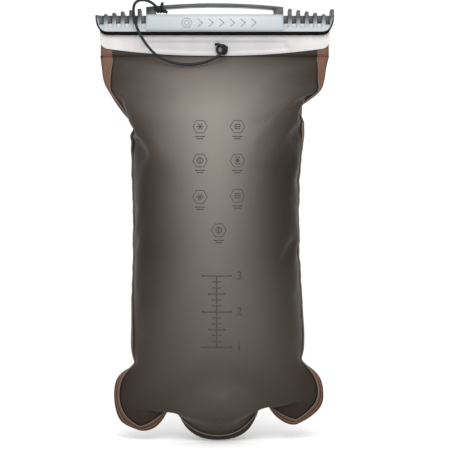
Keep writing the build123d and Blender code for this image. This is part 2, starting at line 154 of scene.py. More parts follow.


# %% [markdown]
# ## Cord material
#
# The lanyard is a braided nylon accessory cord, black with a green cast where the light catches the
# strands. The braid's crowns and gaps are stored on the mesh as an attribute when the tube is made,
# and the material reads it: the crowns get a painted highlight and the gaps get painted shade, so this
# painted light always sits on the right strand.

# %% Cord material: braided nylon
nylon_braid, tree, shader = new_material("nylon_braid")
strand = add_node(tree, "ShaderNodeAttribute", {"attribute_name": "strand"}).outputs["Fac"]
# Painted light on the braid: a painted highlight on the crowns and painted shade in the gaps.
tree.links.new(
    add_node(
        tree,
        "ShaderNodeValToRGB",
        stops=[(0.1, "030404"), (0.55, "0c100f"), (1.0, "1b211f")],
        i0=strand,
    ).outputs["Color"],
    shader.inputs["Base Color"],
)
fibre = add_node(
    tree,
    "ShaderNodeTexNoise",
    None,
    Vector=add_node(tree, "ShaderNodeTexCoord").outputs["Object"],
    Scale=6000.0,
)
tree.links.new(
    add_node(
        tree, "ShaderNodeBump", None, Strength=0.35, Distance=0.00005, Height=fibre.outputs["Fac"]
    ).outputs["Normal"],
    shader.inputs["Normal"],
)
shader.inputs["Roughness"].default_value = 0.62
shader.inputs["IOR"].default_value = 1.53
shader.inputs["Specular IOR Level"].default_value = 0.2
print("made", nylon_braid.name)

# %% [markdown]
# ## The lanyard
#
# A short cord ties the mouth strip to the handle, so that the bar is not lost when it is slid off.
# A cord is easiest to draw as a smooth spline through a few control points. Here the spline gives
# the centreline, and a ring of vertices is extruded along it; the ring's radius goes in and out with
# two crossing sets of waves, which are the strands of the braid.

# %% The lanyard's centreline
CORD_RADIUS = 1.25 * MM
LANYARD_ROUTE = [
    (8.0, -7.7, -40.2),
    (8.0, -12.7, -40.2),
    (5.2, -15.4, -44.4),
    (-1.0, -16.4, -49.0),
    (-10.5, -17.0, -52.6),
    (-23.6, -17.2, -54.2),
    (-37.8, -17.0, -52.4),
    (-50.2, -16.5, -47.1),
    (-59.2, -16.0, -38.2),
    (-66.2, -15.5, -27.5),
    (-70.7, -15.0, -16.8),
    (-72.5, -14.5, -6.1),
    (-71.6, -14.2, 0.6),
    (-67.6, -13.7, 3.9),
    (-61.9, -13.2, 4.2),
    (-56.4, -12.2, 2.3),
    (-52.0, -10.2, -1.4),
    (-48.6, -7.6, -3.8),
]


def spline_points(route, name):
    """Points in metres along the smooth NURBS spline whose control points are the route."""
    curve = bpy.data.curves.new(name, "CURVE")
    curve.dimensions = "3D"
    curve.resolution_u = 24
    spline = curve.splines.new("NURBS")
    spline.points.add(len(route) - 1)
    for point, place in zip(spline.points, route):
        point.co = (*(value * MM for value in place), 1)
    spline.order_u = 3
    spline.use_endpoint_u = True
    holder = bpy.data.objects.new(name, curve)
    bpy.context.scene.collection.objects.link(holder)
    bpy.context.view_layer.update()
    line = bpy.data.meshes.new_from_object(holder)
    points = [v.co.copy() for v in line.vertices]
    bpy.data.objects.remove(holder)
    return points


def spaced(points, step):
    """The same line as points one step apart, its two ends kept."""
    lengths = [0.0]
    for a, b in zip(points, points[1:]):
        lengths.append(lengths[-1] + (b - a).length)
    count = max(2, round(lengths[-1] / step))
    made, k = [], 0
    for n in range(count + 1):
        want = lengths[-1] * n / count
        while k < len(points) - 2 and lengths[k + 1] < want:
            k += 1
        share = (want - lengths[k]) / max(1e-9, lengths[k + 1] - lengths[k])
        made.append(points[k].lerp(points[k + 1], min(1.0, share)))
    return made, lengths[-1]


lanyard_line, lanyard_length = spaced(spline_points(LANYARD_ROUTE, "lanyard_line"), 0.4 * MM)
print("lanyard", round(lanyard_length * 1000, 1), "mm,", len(lanyard_line), "rings")


# %% The braided tube
STRANDS = 6  # strands each way round; a real braid has eight, too fine to see
BRAID_PITCH = 6.5 * MM  # length of one full turn of a strand
BRAID_RELIEF = 0.11


def link_mesh(bm, name, material, smooth=True):
    """A bmesh becomes a named object with one material."""
    mesh = bpy.data.meshes.new(name)
    bm.to_mesh(mesh)
    bm.free()
    for polygon in mesh.polygons:
        polygon.use_smooth = smooth
    mesh.materials.append(material)
    made = bpy.data.objects.new(name, mesh)
    bpy.context.scene.collection.objects.link(made)
    return made


def extrude_ring(bm, ring):
    """Extrude a closed ring of vertices once; the new ring comes back in the same order."""
    edges = [bm.edges.get((a, b)) for a, b in zip(ring, ring[1:] + ring[:1])]
    made = bmesh.ops.extrude_edge_only(bm, edges=edges)["geom"]
    new = {v for v in made if isinstance(v, bmesh.types.BMVert)}
    return [next(e.other_vert(v) for e in v.link_edges if e.other_vert(v) in new) for v in ring]


def braided_tube(line, radius, name, sides=24):
    """A braided cord along a line of points, its two ends closed flat."""
    bm = bmesh.new()
    strand_layer = bm.verts.layers.float.new("strand")
    ring = list(bmesh.ops.create_circle(bm, segments=sides, radius=radius)["verts"])
    ring.sort(key=lambda v: math.atan2(v.co.y, v.co.x))
    run, across = 0.0, None
    for k, point in enumerate(line):
        ahead = (line[min(k + 1, len(line) - 1)] - line[max(k - 1, 0)]).normalized()
        if across is None:
            across = ahead.orthogonal().normalized()
        across = (across - ahead * across.dot(ahead)).normalized()
        up = ahead.cross(across)
        if k:
            run += (point - line[k - 1]).length
            ring = extrude_ring(bm, ring)
        turn = run / BRAID_PITCH
        for j, vert in enumerate(ring):
            share = j / sides
            crown = max(
                math.cos(2 * math.pi * STRANDS * (share + turn)),
                math.cos(2 * math.pi * STRANDS * (share - turn)),
            )
            crown = 0.5 + 0.5 * crown
            vert[strand_layer] = crown
            reach = radius * (1 - BRAID_RELIEF * (1 - crown))
            angle = 2 * math.pi * share
            vert.co = point + across * (reach * math.cos(angle)) + up * (reach * math.sin(angle))
    bmesh.ops.holes_fill(bm, edges=[e for e in bm.edges if e.is_boundary], sides=0)
    bmesh.ops.recalc_face_normals(bm, faces=bm.faces)
    return link_mesh(bm, name, nylon_braid)


lanyard = braided_tube(lanyard_line, CORD_RADIUS, "lanyard_cord")
print("lanyard faces", len(lanyard.data.polygons))

# %% [markdown]
# ## The two knots
#
# At the strip the cord goes through a small hole and is tied in a round knot whose cut end sticks
# out. At the handle it is wrapped round the arch and pulled tight. A knot is the same braided cord
# on a tighter route, so the same tube maker serves; only the control points differ.

# %% The two knots
KNOT_STEP = 0.4 * MM


def knot(route, name):
    """One length of the cord tied along a route."""
    line, length = spaced(spline_points(route, name), KNOT_STEP)
    return braided_tube(line, CORD_RADIUS, name)


def ring_route(middle, across, up, radii, turns, start=0.0, climb=(0, 0, 0), per_turn=8):
    """Control points of a loop of cord round a middle, climbing a little with every turn."""
    made = []
    for n in range(round(turns * per_turn) + 1):
        angle = 2 * math.pi * (start + n / per_turn)
        rise = n / per_turn
        made.append(
            tuple(
                m + radii[0] * math.cos(angle) * a + radii[1] * math.sin(angle) * u + rise * c
                for m, a, u, c in zip(middle, across, up, climb)
            )
        )
    return made


strip_loop = [(7.5, 0.0, -39.5), (7.5, -2.6, -39.5), (6.9, -3.6, -41.6)]
strip_loop += ring_route(
    (6.3, -4.6, -38.9), (1, 0, 0), (0, 0, 1), (4.6, 4.1), 1.15, start=-0.2, climb=(0, -1.6, 0)
)
strip_loop += [(5.2, -7.6, -35.2), (2.0, -7.2, -34.2), (0.2, -6.6, -34.9)]
strip_knot_loop = knot(strip_loop, "strip_knot_loop")
strip_wrap = ring_route((9.6, -5.6, -39.2), (0, 1, 0), (0.5, 0, 0.85), (2.6, 2.6), 1.1, start=0.1)
strip_knot_wrap = knot(strip_wrap, "strip_knot_wrap")

handle_wraps = ring_route(
    (-53.0, -6.9, -3.4), (0, 1, 0), (0, 0, 1), (2.3, 2.3), 3.0, start=0.0, climb=(2.7, 0, 0)
)
handle_wraps += [(-43.6, -8.0, -5.6), (-42.2, -7.6, -6.4)]
handle_knot_wraps = knot(handle_wraps, "handle_knot_wraps")
arch_loop = ring_route((-47.6, 0, -0.2), (0, 1, 0), (0.12, 0, 1), (6.6, 3.6), 1.05, start=0.6)
handle_knot_loop = knot(arch_loop, "handle_knot_loop")
for piece in (handle_knot_wraps, handle_knot_loop):
    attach(piece, "closure")
for piece in (strip_knot_loop, strip_knot_wrap):
    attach(piece, "bladder")
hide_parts("handle_knot")
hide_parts("strip_knot")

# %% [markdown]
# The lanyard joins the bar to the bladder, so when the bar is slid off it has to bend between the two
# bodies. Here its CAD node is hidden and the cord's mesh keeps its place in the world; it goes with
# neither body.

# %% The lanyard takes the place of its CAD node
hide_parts("lanyard")
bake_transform(lanyard)

# %% [markdown]
# ## The film body: a flat pattern
#
# The body is two sheets of polyurethane film welded together round the edge and blown up. Drawing
# the blown shape by hand looks like a sausage, because real film cannot stretch: it has to pucker at
# the sides. So the film is cut flat, as in the factory, and a cloth simulation blows it up. The
# pattern is a plain grid with two rounded lower corners, made twice and joined along the edge. Each
# vertex remembers its place in the flat pattern.

# %% The flat pattern
HALF_WIDTH = 103.0
TOP = -44.0
PATTERN_LENGTH = 380.0
FOOT = TOP - PATTERN_LENGTH
BAND = 10.4  # the grid lines this far from the edge become the weld
CELL = 5.2
CORNER = 46.0
SLACK = 2.5  # the two sheets start this far from the middle


def stops(start, middle, end):
    """Evenly spaced places from start to middle and on to end, about a cell apart."""
    first = max(1, round(abs(middle - start) / CELL))
    second = max(1, round(abs(end - middle) / CELL))
    made = [start + (middle - start) * n / first for n in range(first)]
    return made + [middle + (end - middle) * n / second for n in range(second + 1)]


def smooth_step(value):
    """0 up to 0, 1 from 1 on, and a smooth step between."""
    value = max(0.0, min(1.0, value))
    return value * value * (3 - 2 * value)


def weld_to_edge(x, z):
    """Half the real width of the band at a place on the grid, at the sides and at the foot."""
    ear, corner = smooth_step((z + 82) / 38), smooth_step((FOOT + 52 - z) / 36)
    at_side = 3.5 + 8.0 * ear + 6.0 * corner
    at_foot = 4.5 + 5.0 * smooth_step((abs(x) - 50) / 25)
    return at_side, at_foot


def banded(x, z):
    """Slide the grid lines so that the one at BAND lies at the real width of the band."""
    at_side, at_foot = weld_to_edge(x, z)
    in_x, in_z = HALF_WIDTH - abs(x), z - FOOT
    if in_x < BAND:
        new_x = in_x / BAND * at_side
    else:
        new_x = HALF_WIDTH - abs(x) / (HALF_WIDTH - BAND) * (HALF_WIDTH - at_side)
    if in_z < BAND:
        new_z = in_z / BAND * at_foot
    else:
        new_z = at_foot + (in_z - BAND) / (PATTERN_LENGTH - BAND) * (PATTERN_LENGTH - at_foot)
    return math.copysign(HALF_WIDTH - new_x, x), FOOT + new_z


def rounded(x, z):
    """Move a place in the square corner onto the rounded corner."""
    edge_x, edge_z = HALF_WIDTH - CORNER, FOOT + CORNER
    if abs(x) > edge_x and z < edge_z:
        u, v = (abs(x) - edge_x) / CORNER, (edge_z - z) / CORNER
        x = math.copysign(edge_x + u * math.sqrt(1 - v * v / 2) * CORNER, x)
        z = edge_z - v * math.sqrt(1 - u * u / 2) * CORNER
    return x, z


half_row = stops(0, HALF_WIDTH - BAND, HALF_WIDTH)
columns = [-x for x in half_row[:0:-1]] + half_row
rows = stops(TOP, FOOT + BAND, FOOT)

pattern = bmesh.new()
bmesh.ops.create_grid(pattern, x_segments=len(columns) - 1, y_segments=len(rows) - 1, size=0.5)
flat_layer = pattern.verts.layers.float_vector.new("flat")
for vert in pattern.verts:
    x = columns[round((vert.co.x + 0.5) * (len(columns) - 1))]
    z = rows[round((0.5 - vert.co.y) * (len(rows) - 1))]
    to_edge = min(HALF_WIDTH - abs(x), z - FOOT, TOP - z)
    vert[flat_layer] = (x, 0 if to_edge < 1e-6 else -1, z)
    x, z = rounded(*banded(x, z))
    vert.co = Vector((x, -SLACK * min(1, to_edge / 20), z)) * MM

whole_sheet = pattern.verts[:] + pattern.edges[:] + pattern.faces[:]
sheet_copy = bmesh.ops.duplicate(pattern, geom=whole_sheet)
for item in sheet_copy["geom"]:
    if isinstance(item, bmesh.types.BMVert):
        item.co.y = -item.co.y
        item[flat_layer] = (item[flat_layer][0], -item[flat_layer][1], item[flat_layer][2])
bmesh.ops.remove_doubles(pattern, verts=pattern.verts, dist=0.05 * MM)
bmesh.ops.recalc_face_normals(pattern, faces=pattern.faces)
pattern.verts.ensure_lookup_table()
flat_place = [Vector(v[flat_layer]) for v in pattern.verts]
film_mesh = bpy.data.meshes.new("film_pattern")
pattern.to_mesh(film_mesh)
pattern.free()
film = bpy.data.objects.new("film_pattern", film_mesh)
bpy.context.scene.collection.objects.link(film)
print("pattern", len(film_mesh.vertices), "vertices")

# %% [markdown]
# ## The film body: where the weld ends up
#
# The edge of the blown bladder is known: it runs down from the mouth's corner, in at the waist and
# round three lobes at the foot. Each stretch of the outline takes a stretch of the flat edge. Where
# the outline is shorter than the flat edge, the film has spare length, and it puckers there.

# %% The outline of the blown edge
OUTLINE = [
    [(-103, -44), (-101.6, -56), (-99.8, -68), (-95.2, -76.5), (-86.4, -90.5), (-77, -102),
     (-69.3, -107)],
    [(-69.3, -107), (-75.6, -114), (-75.2, -130), (-72.8, -174), (-72.8, -230), (-75.4, -282),
     (-76.2, -305), (-74.5, -315), (-69.5, -321.5)],
    [(-69.5, -321.5), (-80, -325.5), (-89, -333), (-91.8, -346), (-90.5, -362), (-86, -373.5),
     (-74, -379.5), (-59.2, -382.3), (-47, -374), (-37, -353)],
    [(-37, -353), (-33, -367), (-25, -381), (-12, -389), (3, -390.6), (18, -389),
     (31, -381.5), (39, -366), (43.4, -349)],
    [(43.4, -349), (52, -367), (66.7, -376.9), (80, -373.5), (91, -366.5), (98, -357.5),
     (98.8, -345), (96, -333), (87, -324), (75.6, -318)],
    [(75.6, -318), (80, -311), (80.3, -300), (79, -280), (75.8, -231), (74.4, -190),
     (76.7, -137.7), (79, -112), (79.6, -101), (74.2, -91.4)],
    [(74.2, -91.4), (80, -87.5), (88, -82), (95.5, -75.5), (98.6, -67), (100.3, -55),
     (103, -44)],
]
LEFT_EAR, RIGHT_EAR = 72.0, 60.0  # flat edge lengths above the two upper pinches
OUTER_LOBE, HALF_MIDDLE_LOBE = 119.0, 51.0  # flat edge lengths that the lobes take


def smooth_line(points, parts=12):
    """A Catmull-Rom curve through the points."""
    q = [Vector(p) for p in points]
    q = [2 * q[0] - q[1], *q, 2 * q[-1] - q[-2]]
    made = []
    for a, b, c, d in zip(q, q[1:], q[2:], q[3:]):
        for n in range(parts):
            t = n / parts
            made.append(
                0.5 * (2 * b + (c - a) * t + (2 * a - 5 * b + 4 * c - d) * t**2
                       + (3 * b - a - 3 * c + d) * t**3)
            )
    return made + [q[-2]]


def at_share(line, share):
    """The place that share of the way along a line."""
    steps = [(b - a).length for a, b in zip(line, line[1:])]
    left = share * sum(steps)
    for a, b, step in zip(line, line[1:], steps):
        if left <= step:
            return a.lerp(b, left / max(step, 1e-9))
        left -= step
    return line[-1]


def edge_order(index):
    """How far round the flat edge a vertex is, from the left mouth corner."""
    place = flat_place[index]
    if place.x < -HALF_WIDTH + 0.01 and place.z > FOOT + 0.01:
        return TOP - place.z
    if place.z < FOOT + 0.01:
        return TOP - FOOT + place.x + HALF_WIDTH
    return TOP - FOOT + 2 * HALF_WIDTH + place.z - FOOT


edge = [n for n, p in enumerate(flat_place) if abs(p.y) < 0.5 and p.z < TOP - 0.5]
edge.sort(key=edge_order)
edge_run = [TOP - film_mesh.vertices[edge[0]].co.z / MM]
for a, b in zip(edge, edge[1:]):
    step = (film_mesh.vertices[b].co - film_mesh.vertices[a].co).length / MM
    edge_run.append(edge_run[-1] + step)
edge_total = edge_run[-1] + TOP - film_mesh.vertices[edge[-1]].co.z / MM
middle = edge_total / 2
cuts = [
    0,
    LEFT_EAR,
    middle - HALF_MIDDLE_LOBE - OUTER_LOBE,
    middle - HALF_MIDDLE_LOBE,
    middle + HALF_MIDDLE_LOBE,
    middle + HALF_MIDDLE_LOBE + OUTER_LOBE,
    edge_total - RIGHT_EAR,
    edge_total,
]
held = {n: None for n, p in enumerate(flat_place) if p.z > TOP - 0.5}
for stretch, low, high in zip(OUTLINE, cuts, cuts[1:]):
    line = smooth_line(stretch)
    for index, run in zip(edge, edge_run):
        if low <= run <= high:
            place = at_share(line, (run - low) / (high - low))
            held[index] = Vector((place.x, 0, place.y)) * MM
print("edge", round(edge_total), "mm,", len(held), "held vertices")

# %% [markdown]
# ## The film body: blowing it up
#
# The Cloth modifier does the work. A shape key carries the edge from the flat pattern to its outline
# over the first frames, while pressure pushes the two sheets apart. Gravity is off: the water or air
# inside decides the shape. Damping is high, so the film settles in place instead of swinging.

# %% Blowing up the film
MOVE_FRAMES, ALL_FRAMES = 40, 80

film.shape_key_add(name="flat")
held_key = film.shape_key_add(name="held")
for index, place in held.items():
    if place:
        held_key.data[index].co = place
for value, frame_number in ((0, 1), (1, MOVE_FRAMES)):
    held_key.value = value
    held_key.keyframe_insert("value", frame=frame_number)
film.vertex_groups.new(name="held").add(list(held), 1.0, "REPLACE")

cloth = film.modifiers.new("cloth", "CLOTH")
settings = cloth.settings
settings.vertex_group_mass = "held"
settings.quality = 8
settings.mass = 0.3
settings.tension_stiffness = settings.compression_stiffness = 100
settings.shear_stiffness = 50
settings.bending_stiffness = 20
settings.tension_damping = settings.compression_damping = settings.shear_damping = 5
settings.bending_damping = 0.5
settings.air_damping = 2
settings.use_pressure = True
settings.uniform_pressure_force = 100
settings.effector_weights.gravity = 0
cloth.collision_settings.use_collision = False
cloth.point_cache.frame_start, cloth.point_cache.frame_end = 1, ALL_FRAMES
scene = bpy.context.scene
scene.frame_start, scene.frame_end = 1, ALL_FRAMES
for frame_number in range(1, ALL_FRAMES + 1):
    scene.frame_set(frame_number)
blown = bpy.data.meshes.new_from_object(
    film.evaluated_get(bpy.context.evaluated_depsgraph_get())
)
depths = [v.co.y / MM for v in blown.vertices]
print("blown film from", round(min(depths), 1), "to", round(max(depths), 1), "mm deep")
bpy.data.objects.remove(film)

# %% [markdown]
# ## The film body: settling it
#
# The simulation leaves some crumpled cells in the tight corners between the lobes. Thick film
# cannot bend that sharply, so those corners are smoothed. The foot would still hang over its own
# seam, so near the seam it is made as thin as a pillow is near its edge, by the distance to the
# seam. At the back the film is pulled flat against the round flange of the drinking port, which is
# welded to it.

# %% Settling the film
PORT_Z, PORT_FILM_Y, PORT_FLAT, PORT_EASE = -285.0, 54.0, 20.0, 42.0
FOOT_SMOOTH_TOP, FOOT_SMOOTH_EASE = -262.0, 28.0
LOBES_TOP, LOBES_EASE, LOBES_SHARE = -312.0, 20.0, 0.3

PILLOW_TOP, PILLOW_EASE = -296.0, 24.0  # the pillow's shape eases in below this height
PILLOW_RADIUS, SEAM_INSET = 28.0, 1.0  # its edge is rounded to this radius
SETTLE_ROUNDS, PILLOW_PASSES, LEVEL_PASSES = 14, 3, 10

blown_bm = bmesh.new()
blown_bm.from_mesh(blown)
flat_layer = blown_bm.verts.layers.float_vector["flat"]


def foot_share(vert):
    """How much a vertex is smoothed: 0 up in the body, 1 above the lobes, a little in the lobes."""
    z = vert.co.z / MM
    above = max(0.0, min(1.0, (FOOT_SMOOTH_TOP - z) / FOOT_SMOOTH_EASE))
    in_lobes = max(0.0, min(1.0, (LOBES_TOP - z) / LOBES_EASE))
    return above * (1 - (1 - LOBES_SHARE) * in_lobes)


for round_number in range(SETTLE_ROUNDS):
    soft = [
        v for v in blown_bm.verts
        if abs(v[flat_layer].y) > 0.5 and foot_share(v) > (round_number % 4) / 4
        and min(HALF_WIDTH - abs(v[flat_layer].x), v[flat_layer].z - FOOT) > 2
    ]
    bmesh.ops.smooth_vert(
        blown_bm, verts=soft, factor=0.5, use_axis_x=True, use_axis_y=True, use_axis_z=True
    )

# Near the seam of the foot the film is as thin as a pillow is near its edge.
blown_bm.verts.ensure_lookup_table()
outline = [blown_bm.verts[index].co.copy() for index in edge]
nearest = KDTree(len(outline))
for place_number, point in enumerate(outline):
    nearest.insert(point, place_number)
nearest.balance()
foot_film = [v for v in blown_bm.verts if abs(v[flat_layer].y) > 0.5 and v.co.z < PILLOW_TOP * MM]
for _ in range(PILLOW_PASSES):
    for vert in foot_film:
        point, k, _ = nearest.find((vert.co.x, 0, vert.co.z))
        along = outline[min(k + 1, len(outline) - 1)] - outline[max(k - 1, 0)]
        outward = Vector((along.z, 0, -along.x)).normalized()
        inside = (point - vert.co).dot(outward) / MM
        share = smooth_step((PILLOW_TOP - vert.co.z / MM) / PILLOW_EASE)
        if inside < SEAM_INSET:
            vert.co -= outward * (SEAM_INSET - inside) * MM * share
            inside = SEAM_INSET
        cap = math.sqrt(2 * PILLOW_RADIUS * inside) * MM
        if abs(vert.co.y) > cap:
            vert.co.y += (math.copysign(cap, vert.co.y) - vert.co.y) * share
    bmesh.ops.smooth_vert(
        blown_bm, verts=foot_film, factor=0.5, use_axis_x=True, use_axis_y=True, use_axis_z=True
    )
for _ in range(LEVEL_PASSES):
    bmesh.ops.smooth_vert(blown_bm, verts=foot_film, factor=0.5, use_axis_y=True)
for vert in blown_bm.verts:
    reach = math.hypot(vert.co.x, vert.co.z - PORT_Z * MM) / MM
    if vert.co.y > 0.02 and reach < PORT_EASE:
        share = 1 - max(0.0, (reach - PORT_FLAT) / (PORT_EASE - PORT_FLAT))
        share = share * share * (3 - 2 * share)
        vert.co.y += (PORT_FILM_Y * MM - vert.co.y) * share
blown_bm.to_mesh(blown)
blown_bm.free()

whole = bpy.data.objects.new("whole_film", blown)
scene.collection.objects.link(whole)
corners = blown.attributes.new("crease_vert", "FLOAT", "POINT")
for vertex in blown.vertices:
    at_corner = vertex.co.z / MM > TOP - 0.2 and abs(vertex.co.x) / MM > HALF_WIDTH - 0.2
    corners.data[vertex.index].value = 1.0 if at_corner else 0.0
creases = blown.attributes.new("crease_edge", "FLOAT", "EDGE")
for edge_line in blown.edges:
    a, b = (blown.vertices[n].co / MM for n in edge_line.vertices)
    on_seam = max(abs(a.y), abs(b.y)) < 0.01
    ear = smooth_step((min(a.z, b.z) + 130) / 40) if on_seam else 0.0
    creases.data[edge_line.index].value = 1.0 if min(a.z, b.z) > TOP - 0.2 else ear
fine = whole.modifiers.new("fine", "SUBSURF")
fine.levels = fine.render_levels = 1
bpy.context.view_layer.update()
whole_mesh = bpy.data.meshes.new_from_object(
    whole.evaluated_get(bpy.context.evaluated_depsgraph_get())
)
bpy.data.objects.remove(whole)
print("whole film", len(whole_mesh.polygons), "faces")

# %% [markdown]
# ## Film material
#
# The film is thermoplastic polyurethane, about 0.4 mm thick, smoked brown. It is blown and calendered
# smooth, so its gloss is broad and soft, like a satin sheet. Its colour carries painted light: a
# painted highlight runs down the middle of each panel, and painted shade deepens it towards the side
# welds, just under the strip and towards the foot. The flat pattern coordinates are kept as a UV map,
# so that this painted light follows the cut of the film and not the world.


# %% Film materials: smoked polyurethane
def film_material(name, deep, pale, roughness, pleats=False):
    """Smoked TPU film with painted light: a painted highlight down the middle and painted shade at the
    welds, under the strip, at the foot and, with pleats, along their folds.
    """
    material, tree, shader = new_material(name)
    uv = add_node(tree, "ShaderNodeUVMap", {"uv_map": "pattern"}).outputs["UV"]
    across = add_node(tree, "ShaderNodeSeparateXYZ", None, Vector=uv)
    place = add_node(tree, "ShaderNodeTexCoord").outputs["Object"]
    cloud = add_node(tree, "ShaderNodeTexNoise", None, Vector=place, Scale=9.0, Detail=2.0)
    aside = add_node(
        tree, "ShaderNodeMath", {"operation": "SUBTRACT"}, i0=across.outputs["X"], i1=0.49
    ).outputs[0]
    aside = add_node(
        tree,
        "ShaderNodeMath",
        {"operation": "ADD"},
        i0=aside,
        i1=add_node(
            tree,
            "ShaderNodeMath",
            {"operation": "MULTIPLY_ADD"},
            i0=cloud.outputs["Fac"],
            i1=0.04,
            i2=-0.02,
        ).outputs[0],
    ).outputs[0]
    # The painted highlight down the middle of the panel: its half width at each height of the pattern.
    highlight_widths = [(0.0, 0.36), (0.2, 0.33), (0.35, 0.26), (0.5, 0.19), (0.7, 0.17), (0.81, 0.22),
              (0.9, 0.31), (1.0, 0.36)]
    highlight_width = add_node(
        tree, "ShaderNodeValToRGB", stops=highlight_widths, i0=across.outputs["Y"]
    ).outputs["Color"]
    share = add_node(
        tree, "ShaderNodeMath", {"operation": "DIVIDE"}, i0=aside, i1=highlight_width
    ).outputs[0]
    share = add_node(
        tree, "ShaderNodeMath", {"operation": "MULTIPLY"}, i0=share, i1=share
    ).outputs[0]
    middle = add_node(
        tree,
        "ShaderNodeMath",
        {"operation": "EXPONENT"},
        i0=add_node(tree, "ShaderNodeMath", {"operation": "MULTIPLY"}, i0=share, i1=-1.0).outputs[0],
    ).outputs[0]
    # Painted light by height of the pattern: painted shade towards the foot and just under the strip.
    levels = [(0.0, 0.14), (0.15, 0.2), (0.3, 0.34), (0.5, 0.48), (0.72, 0.72), (0.83, 0.84),
              (0.93, 0.58), (1.0, 0.36)]
    share = add_node(
        tree,
        "ShaderNodeMath",
        {"operation": "MULTIPLY"},
        i0=middle,
        i1=add_node(tree, "ShaderNodeValToRGB", stops=levels, i0=across.outputs["Y"]).outputs["Color"],
    ).outputs[0]
    # The colour runs from deep, the painted shade, to pale, the painted highlight.
    colour = add_node(tree, "ShaderNodeMix", MIX_COLOURS, Factor=share, i6=deep, i7=pale).outputs[2]
    # Painted shade along the folds of the gusset's pleats at the foot.
    if pleats:
        seam = add_node(tree, "ShaderNodeAttribute", {"attribute_name": "from_seam"})
        height = add_node(tree, "ShaderNodeSeparateXYZ", None, Vector=place).outputs["Z"]
        in_foot = add_node(
            tree, "ShaderNodeMapRange", SMOOTH_STEP, Value=height, From_Min=-0.325, From_Max=-0.345
        ).outputs["Result"]
        for line in PLEAT_LINES:
            off = add_node(
                tree,
                "ShaderNodeMath",
                {"operation": "ABSOLUTE"},
                i0=add_node(
                    tree,
                    "ShaderNodeMath",
                    {"operation": "SUBTRACT"},
                    i0=seam.outputs["Fac"],
                    i1=line,
                ).outputs[0],
            ).outputs[0]
            pleat_fold_shade = add_node(
                tree,
                "ShaderNodeMath",
                {"operation": "MULTIPLY"},
                i0=add_node(
                    tree,
                    "ShaderNodeMapRange",
                    SMOOTH_STEP,
                    Value=off,
                    From_Min=0.09,
                    From_Max=0.02,
                ).outputs["Result"],
                i1=in_foot,
            ).outputs[0]
            colour = add_node(
                tree, "ShaderNodeMix", MIX_COLOURS, Factor=pleat_fold_shade, i6=colour, i7="120b07"
            ).outputs[2]
    tree.links.new(colour, shader.inputs["Base Color"])
    grain = add_node(tree, "ShaderNodeTexNoise", None, Vector=place, Scale=900.0, Detail=2.0)
    waves = add_node(tree, "ShaderNodeTexNoise", None, Vector=place, Scale=38.0, Detail=2.0)
    height = add_node(
        tree,
        "ShaderNodeMath",
        {"operation": "MULTIPLY_ADD"},
        i0=waves.outputs["Fac"],
        i1=6.0,
        i2=grain.outputs["Fac"],
    ).outputs[0]
    bump = add_node(
        tree, "ShaderNodeBump", None, Strength=0.25, Distance=0.0001, Height=height
    )
    tree.links.new(bump.outputs["Normal"], shader.inputs["Normal"])
    shader.inputs["Roughness"].default_value = roughness
    shader.inputs["IOR"].default_value = 1.5
    shader.inputs["Specular IOR Level"].default_value = 0.1
    return material


# Where the gusset film gets painted shade for the folds of its pleats:
PLEAT_LINES = (0.3, 0.62)  # shares of the band's half width, out from its middle
# Each film runs from a deep colour, its painted shade, to a pale one, its painted highlight.
panel_film = film_material("smoked_tpu_panel", "1d130b", "76706a", 0.4)
gusset_film = film_material("smoked_tpu_gusset", "5a4135", "8a6c5e", 0.45, pleats=True)
base_film = film_material("smoked_tpu_base", "251b14", "4a423b", 0.45)
# The weld fin is painted pale: painted reflection that stands for the light rims along the sides.
weld_film = film_material("welded_tpu_edge", "5f554d", "6a625b", 0.4)

# %% [markdown]
# ## The film body: cutting it into its panels
#
# The real bladder is cut from a front panel, a back panel and a band between them. The pattern
# coordinates say which face belongs to which, so each piece is the whole film with every other face
# deleted. The film gets its thickness inwards, so the outside does not move.

# %% Cutting the film into panels
PORT_HOLE = 14.0
BASE_HALF = 42.0


def piece_of(flat):
    """The panel that a place on the pattern belongs to."""
    to_side, to_foot = HALF_WIDTH - abs(flat.x), flat.z - FOOT
    if min(to_side, to_foot) < BAND:
        if to_foot < BAND and abs(flat.x) < BASE_HALF:
            return "base"
        return "left" if flat.x < 0 else "right"
    return "front" if flat.y < 0 else "back"


def cut_panel(which, name, node, material):
    """One panel of the film as its own object, which stands for one CAD node."""
    bm = bmesh.new()
    bm.from_mesh(whole_mesh)
    layer = bm.verts.layers.float_vector["flat"]
    seam_layer = bm.verts.layers.float.new("from_seam")
    for vert in bm.verts:
        to_edge = min(HALF_WIDTH - abs(vert[layer][0]), vert[layer][2] - FOOT)
        vert[seam_layer] = min(1.0, to_edge / BAND)
    others = []
    for face in bm.faces:
        flat = sum((Vector(v[layer]) for v in face.verts), Vector()) / len(face.verts)
        centre = face.calc_center_median() / MM
        in_port = which == "back" and math.hypot(centre.x, centre.z - PORT_Z) < PORT_HOLE
        if piece_of(flat) != which or in_port:
            others.append(face)
    bmesh.ops.delete(bm, geom=others, context="FACES")
    uv_layer = bm.loops.layers.uv.new("pattern")
    for face in bm.faces:
        for loop in face.loops:
            flat = loop.vert[layer]
            loop[uv_layer].uv = (
                0.5 + flat[0] / (2 * HALF_WIDTH), (flat[2] - FOOT) / PATTERN_LENGTH
            )
    made = link_mesh(bm, name, material)
    thick = made.modifiers.new("film_thickness", "SOLIDIFY")
    thick.thickness, thick.offset = 0.4 * MM, -1
    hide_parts(node)
    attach(made, "bladder")
    return made


front_film = cut_panel("front", "front_film", "front_panel", panel_film)
cut_panel("back", "back_film", "back_panel", panel_film)
cut_panel("left", "left_gusset_film", "left_gusset", gusset_film)
cut_panel("right", "right_gusset_film", "right_gusset", gusset_film)
cut_panel("base", "base_gusset_film", "base_gusset", base_film)
print("front film", len(front_film.data.polygons), "faces")

